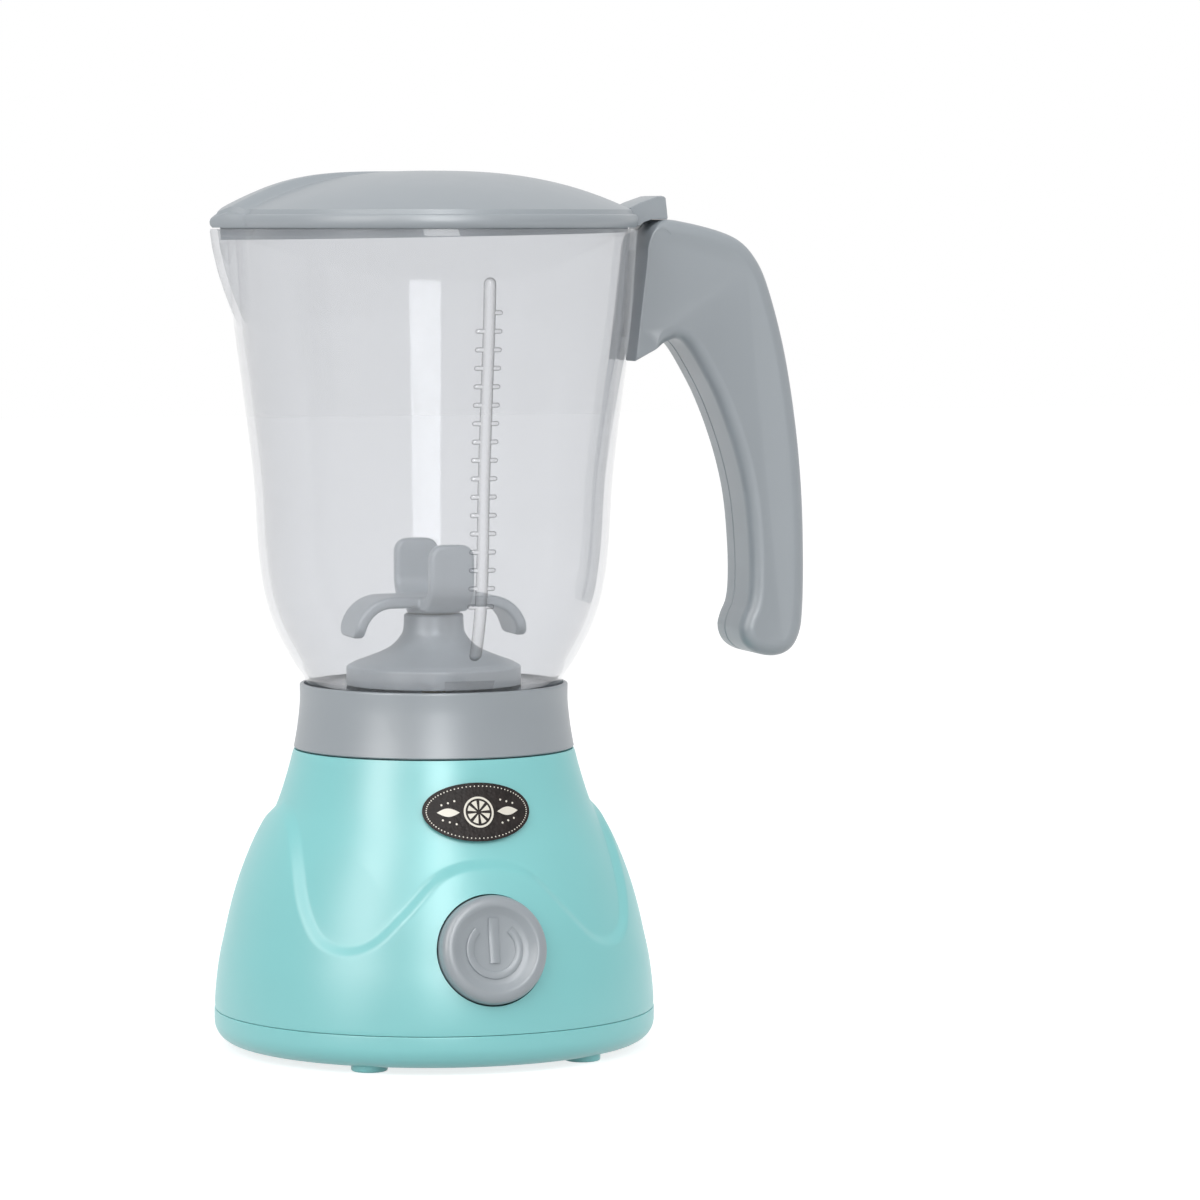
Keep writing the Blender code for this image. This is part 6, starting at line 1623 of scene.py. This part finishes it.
class TOYBLENDER_OT_handle(Operator):
    """Gray handle in two half shells with a seam, screw pits and a slot for the jar's rail"""

    bl_idname = "toyblender.handle"
    bl_label = "Handle"

    def execute(self, context):
        for side, name, node in ((-1, "grip_near", "handle_near_half"), (1, "grip_far", "handle_far_half")):
            half = self.half(context.scene.toy_blender_top, name, side)
            dress(half, "jar", gray(), [node], crease=34)
        return {"FINISHED"}

    def half(self, sizes, name, side):
        corner = [handle_point(share) for share in HANDLE_SHARES]
        outline = smooth_line(corner + [corner[0]], 7)[:-1]
        face = side * sizes.handle_thickness / 2
        seam = HANDLE_SEAM + side * GAP / 2
        end_x = handle_edge(handle_point((0, 0.8)).y) + sizes.handle_fillet
        fillets = [
            sizes.handle_fillet * (0.12 + 0.88 * soft_step((point.x - end_x) / sizes.handle_fillet))
            for point in outline
        ]
        groove = 0.25 * MM
        rings = [
            [Vector((point.x, seam, point.y)) for point in drawn_in(outline, [groove] * len(outline))],
            [Vector((point.x, seam + side * groove, point.y)) for point in outline],
        ]
        for turn in steps(0, QUARTER, 9):
            drawn = drawn_in(outline, [fillet * (1 - math.cos(turn)) for fillet in fillets])
            rings.append([
                Vector((point.x, face - side * fillet * (1 - math.sin(turn)), point.y))
                for point, fillet in zip(drawn, fillets)
            ])
        ridges = [0.35 * MM * soft_step((point.x - end_x) / sizes.handle_fillet) for point in outline]
        drawn = drawn_in(outline, [fillet + ridge for fillet, ridge in zip(fillets, ridges)])
        rings.append([
            Vector((point.x, face - side * ridge / 3, point.y)) for point, ridge in zip(drawn, ridges)
        ])
        half = to_object(name, skin(rings))
        holes = [self.slot()]
        if side > 0:
            upright = Matrix.Rotation(QUARTER, 4, "X")
            for share in HANDLE_SCREW_SHARES:
                place = handle_point(share)
                pit = rod(SCREW_HEAD_RADIUS, -face - OVERRUN, -face + SCREW_SINK, 48)
                holes.append(moved(pit, Matrix.Translation((place.x, 0, place.y)) @ upright))
        cut(half, *holes)
        return half

    def slot(self):
        """Slot in the end wall for the rail's neck and the room behind it for the flange."""
        low, high = JAR_LOW.z + RAIL_LOW - GAP, JAR_LOW.z + RAIL_HIGH + GAP
        near, far = -HANDLE_WALL, HANDLE_WALL + GAP
        outline = (
            (handle_edge(low) + near, low), (handle_edge(low) + far, low),
            (handle_edge(high) + far, high), (handle_edge(high) + near, high),
        )
        return side_prism(outline, -RAIL_NECK - GAP, HANDLE_SEAM + OVERRUN)


# Screws, cells and springs

# Head radius, head height, shank radius and length
COVER_SCREW = (SCREW_HEAD_RADIUS, 1.5 * MM, SCREW_RADIUS, 15.0 * MM)
DOOR_SCREW = (DOOR_SCREW_HEAD_RADIUS, 1.2 * MM, 1.1 * MM, 3.8 * MM)
GRIP_SCREW = (2.4 * MM, 1.4 * MM, 1.1 * MM)
GRIP_SCREW_BITE = 5.0 * MM


def screw(head_radius, head, radius, long):
    """A cross-head screw whose head is at the low end, with the underside of the head at zero."""
    edge = head * 0.3
    profile = [(0, -head), (head_radius - edge, -head), (head_radius - edge * 0.3, -head + edge * 0.3)]
    profile += [(head_radius, -head + edge), (head_radius, 0)]
    profile += [(radius, 0), (radius, long - radius), (0, long)]
    made = to_object("screw", lathe(profile, 40))
    half, deep, arm = head_radius * 0.13, head * 0.55, head_radius * 0.62
    cross = []
    for across, along in ((half, arm), (arm, half)):
        low = [Vector((x * across, y * along, -head - OVERRUN)) for x, y in CORNER_SIGNS]
        rings = [low, [Vector((point.x, point.y, -head)) for point in low]]
        rings.append([Vector((point.x * 0.55, point.y * 0.55, -head + deep)) for point in low])
        cross.append(skin(rings))
    return cut(made, *cross)


class TOYBLENDER_OT_screws(Operator):
    """Cross-head screws of the bottom cover, the battery door and the handle"""

    bl_idname = "toyblender.screws"
    bl_label = "Screws"

    def execute(self, context):
        for number, place in enumerate(corners(SCREW_CIRCLE, SCREW_ANGLE), 1):
            self.place(
                f"cover_screw_{number}", f"bottom_screw_{number}", "base",
                screw(*COVER_SCREW),
                Matrix.Translation((place[0], place[1], FOOT_HEIGHT + SCREW_RECESS - GAP)),
            )
        self.place(
            "door_screw", "battery_door_screw", "door",
            screw(*DOOR_SCREW),
            Matrix.Translation((*DOOR_SCREW_PLACE, FOOT_HEIGHT + DOOR_THICKNESS)),
        )
        face = context.scene.toy_blender_top.handle_thickness / 2
        seat = face - SCREW_SINK + GAP
        for number, share in enumerate(HANDLE_SCREW_SHARES, 1):
            place = handle_point(share)
            self.place(
                f"grip_screw_{number}", f"handle_screw_{number}", "jar",
                screw(*GRIP_SCREW, seat - HANDLE_SEAM + GRIP_SCREW_BITE),
                Matrix.Translation((place.x, seat, place.y)) @ Matrix.Rotation(QUARTER, 4, "X"),
            )
        return {"FINISHED"}

    def place(self, name, node, body, made, matrix):
        made.name = name
        made.data.transform(matrix)
        dress(made, body, steel(), [node])


CELL_RADIUS = 7.25 * MM
CELL_NUB = 1.0 * MM
CELL_SLEEVE = 0.15 * MM
CELL_NUB_RADIUS = 2.7 * MM
CELL_SPRING_WIRE = 0.35 * MM
CELL_SPRING_TURNS = 3


class TOYBLENDER_OT_cells(Operator):
    """Two cells in plain sleeves, with crimped metal ends, and their contact springs"""

    bl_idname = "toyblender.cells"
    bl_label = "Cells and springs"

    def execute(self, context):
        look = context.scene.toy_blender_finish
        sleeve = plastic("cell_sleeve", look.sleeve, 0.3)
        for number, row in enumerate((1, -1), 1):
            low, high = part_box(f"battery_{number}")
            long = high.x - low.x
            body = long - CELL_NUB
            edge = 0.8 * MM
            ends = CELL_SLEEVE + edge
            profile = [(0, 0), (CELL_RADIUS - 2 * edge, 0)]
            profile += arc((CELL_RADIUS - edge - CELL_SLEEVE, edge), edge, -QUARTER, 0, 5)
            profile += [(CELL_RADIUS, edge + CELL_SLEEVE), (CELL_RADIUS, body - edge - CELL_SLEEVE)]
            profile += arc((CELL_RADIUS - edge - CELL_SLEEVE, body - edge), edge, 0, QUARTER, 5)
            profile += [
                (CELL_RADIUS * 0.62, body),
                (CELL_RADIUS * 0.6, body - CELL_SLEEVE),
                (CELL_NUB_RADIUS + 0.2 * MM, body - CELL_SLEEVE),
                (CELL_NUB_RADIUS, body),
                (CELL_NUB_RADIUS, long - CELL_SLEEVE),
                (CELL_NUB_RADIUS - 0.3 * MM, long),
                (0, long),
            ]
            cell = to_object(f"cell_{number}", lathe(profile, 64))
            middle = (low + high) / 2 - AXIS
            turn = Matrix.Rotation(row * QUARTER, 4, "Y") @ Matrix.Translation((0, 0, -long / 2))
            dress(cell, "base", sleeve, [f"battery_{number}"])
            cell.data.materials.append(steel())
            for face in cell.data.polygons:
                if not ends / 2 < face.center.z < body - ends / 2:
                    face.material_index = 1
            cell.data.transform(Matrix.Translation(middle) @ turn)
        for name in ("bridge_spring", "negative_spring"):
            low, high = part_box(name)
            self.spring(name, low, high)
        return {"FINISHED"}

    def spring(self, name, low, high):
        """A coil along X between two corners."""
        radius, half = (high.y - low.y) / 2 - CELL_SPRING_WIRE, (high.x - low.x) / 2
        mesh = wound(radius, CELL_SPRING_WIRE, -half, half, CELL_SPRING_TURNS)
        lying = Matrix.Translation((low + high) / 2 - AXIS) @ Matrix.Rotation(QUARTER, 4, "Y")
        dress(to_object(f"{name}_coil", moved(mesh, lying)), "base", steel(), [name], crease=70)


class TOYBLENDER_OT_works(Operator):
    """Finishes of the motor, gears, shafts, contacts, switch and wires"""

    bl_idname = "toyblender.works"
    bl_label = "Works"

    def execute(self, context):
        slots = {part["node"]: part["material_slot"] for part in frame["record"]["subparts"]}
        finishes = {
            "mint_plastic": mint(),
            "gray_plastic": gray(),
            "white_plastic": natural(),
            "black_plastic": plastic("black_plastic_finish", (0.02, 0.02, 0.022), 0.45),
            "steel": steel(),
            "brass": brass(),
            "wire_red": rubber("wire_red_finish", (0.50, 0.03, 0.02)),
            "wire_black": rubber("wire_black_finish", (0.012, 0.012, 0.012)),
        }
        for name, node in frame["nodes"].items():
            if not node.hide_render:
                for slot in node.material_slots:
                    slot.material = finishes[slots[name]]
        return {"FINISHED"}


# Stage

LAMP_DISTANCE = 1000 * MM
LAMP_HEIGHT = 1500 * MM
LAMP_FOOT = 150 * MM
# Name, turn from the front, height angle, strength, width, and whether it lights the pieces or shows
# only in their gloss
LAMPS = (
    ("left_box", math.radians(-60), 0, 1.5, 1200 * MM, True),
    ("right_box", math.radians(45), 0, 1.0, 1200 * MM, True),
    ("top_box", math.radians(-15), math.radians(68), 0.45, 900 * MM, True),
    ("left_strip", math.radians(-60), 0, 10.0, 260 * MM, False),
    ("front_strip", math.radians(-11), 0, 6.0, 340 * MM, False),
)
FLOOR_SIZE = 8000 * MM
FLOOR_PAPER = (0.5, 0.5, 0.5, 1)
FLOOR_GLOW = 0.76
# How far to the front, from -1 to 1 at the back, the white of the room reaches in a gloss
ROOM_WHITE_FROM = -0.5
CAMERA_ASIDE = math.radians(1.786)
CAMERA_DOWN = math.radians(4.063)


class TOYBLENDER_OT_stage(Operator):
    """Pale floor, white room, soft lamps and the camera"""

    bl_idname = "toyblender.stage"
    bl_label = "Stage"

    def execute(self, context):
        scene = context.scene
        scene.view_settings.view_transform = "Standard"
        self.floor()
        self.room(scene)
        self.lamps(scene.toy_blender_stage)
        self.camera(scene)
        return {"FINISHED"}

    def floor(self):
        """Paper that takes the object's shadow, and glows only where it is looked at."""
        half = FLOOR_SIZE / 2
        plane = to_object("floor", block((-half, -half, -OVERRUN), (half, half, 0)))
        plane.location = AXIS
        nodes = Nodes("floor_paper")
        nodes.tree.nodes.remove(nodes.shader)
        paper = nodes.add("ShaderNodeBsdfDiffuse", {"Color": FLOOR_PAPER})
        lift = nodes.math("MULTIPLY", nodes.seen(), FLOOR_GLOW)
        glow = nodes.add("ShaderNodeEmission", {"Color": WHITE, "Strength": lift})
        total = nodes.add("ShaderNodeAddShader", {0: paper.outputs["BSDF"], 1: glow.outputs["Emission"]})
        nodes.feed(nodes.output.inputs["Surface"], total.outputs["Shader"])
        plane.data.materials.append(nodes.material)

    def room(self, scene):
        """Even light all round, with white for the camera and, toward the back, for glosses."""
        world = bpy.data.worlds.new("white_room")
        world.use_nodes = True
        nodes = Tree(world.node_tree)
        light = nodes.tree.nodes["Background"]
        nodes.feed(light.inputs["Color"], WHITE)
        nodes.feed(light.inputs["Strength"], scene.toy_blender_stage.light)
        white = nodes.add("ShaderNodeBackground", {"Color": WHITE, "Strength": 1.0})
        way = nodes.add("ShaderNodeSeparateXYZ", {0: nodes.add("ShaderNodeTexCoord").outputs["Generated"]})
        back = nodes.add("ShaderNodeMapRange", {"From Min": ROOM_WHITE_FROM, "Value": way.outputs["Y"]})
        shown = nodes.math("MULTIPLY", nodes.seen(), back.outputs[0])
        share = nodes.math("MAXIMUM", shown, nodes.add("ShaderNodeLightPath").outputs["Is Camera Ray"])
        both = nodes.blend(share, light.outputs["Background"], white.outputs["Background"])
        nodes.feed(nodes.tree.nodes["World Output"].inputs["Surface"], both)
        scene.world = world

    def lamps(self, stage):
        """Wide soft boxes all round, and two tall narrow ones that only the gloss shows."""
        for name, azimuth, up, glow, across, plain in LAMPS:
            data = bpy.data.lights.new(name, "AREA")
            data.shape = "RECTANGLE"
            data.size, data.size_y = across, LAMP_HEIGHT
            data.energy = stage.lamps * glow * math.pi * across * LAMP_HEIGHT
            lamp = bpy.data.objects.new(name, data)
            bpy.context.scene.collection.objects.link(lamp)
            level = math.cos(up)
            back = Vector((math.sin(azimuth) * level, -math.cos(azimuth) * level, math.sin(up)))
            rise = LAMP_FOOT + (0 if up else LAMP_HEIGHT / 2)
            lamp.location = AXIS + back * LAMP_DISTANCE + Vector((0, 0, rise))
            lamp.rotation_euler = (-back).to_track_quat("-Z", "Y").to_euler()
            lamp.visible_camera = False
            lamp.visible_diffuse = plain
            lamp.visible_glossy = not plain

    def camera(self, scene):
        stage = scene.toy_blender_stage
        data = bpy.data.cameras.new("camera")
        data.sensor_width = 36
        data.lens = stage.lens
        data.clip_start = LAMP_DISTANCE / 20
        camera = bpy.data.objects.new("camera", data)
        scene.collection.objects.link(camera)
        turn = stage.camera_azimuth
        far = stage.camera_distance
        camera.location = AXIS + Vector((far * math.sin(turn), -far * math.cos(turn), stage.camera_height))
        camera.rotation_euler = (QUARTER - CAMERA_DOWN, 0, turn - CAMERA_ASIDE)
        scene.camera = camera


class TOYBLENDER_PT_pieces(Panel):
    """Lists the toy blender's pieces"""

    bl_label = "Toy Blender"
    bl_space_type = "VIEW_3D"
    bl_region_type = "UI"
    bl_category = "Toy Blender"

    def draw(self, context):
        column = self.layout.column()
        for kind in OPERATORS:
            column.operator(kind.bl_idname)
        for name, kind in GROUPS.items():
            box = self.layout.box()
            box.label(text=kind.__doc__)
            for field in kind.__annotations__:
                box.prop(getattr(context.scene, name), field)


GROUPS = {
    "toy_blender_finish": ToyBlenderFinish,
    "toy_blender_base": ToyBlenderBase,
    "toy_blender_button": ToyBlenderButton,
    "toy_blender_jar": ToyBlenderJar,
    "toy_blender_top": ToyBlenderTop,
    "toy_blender_stage": ToyBlenderStage,
}
OPERATORS = (
    TOYBLENDER_OT_stage,
    TOYBLENDER_OT_base_shell,
    TOYBLENDER_OT_bottom_cover,
    TOYBLENDER_OT_collar,
    TOYBLENDER_OT_badge,
    TOYBLENDER_OT_power_button,
    TOYBLENDER_OT_jar,
    TOYBLENDER_OT_blade_base,
    TOYBLENDER_OT_blade_rotor,
    TOYBLENDER_OT_couplings,
    TOYBLENDER_OT_lid,
    TOYBLENDER_OT_handle,
    TOYBLENDER_OT_screws,
    TOYBLENDER_OT_cells,
    TOYBLENDER_OT_works,
)


def register():
    for kind in (*GROUPS.values(), *OPERATORS, TOYBLENDER_PT_pieces):
        bpy.utils.register_class(kind)
    for name, kind in GROUPS.items():
        setattr(bpy.types.Scene, name, PointerProperty(type=kind))


def unregister():
    for name in GROUPS:
        delattr(bpy.types.Scene, name)
    for kind in reversed((*GROUPS.values(), *OPERATORS, TOYBLENDER_PT_pieces)):
        bpy.utils.unregister_class(kind)


def main():
    register()
    for kind in OPERATORS:
        getattr(bpy.ops.toyblender, kind.bl_idname.split(".")[1])()


if __name__ == "__main__":
    main()
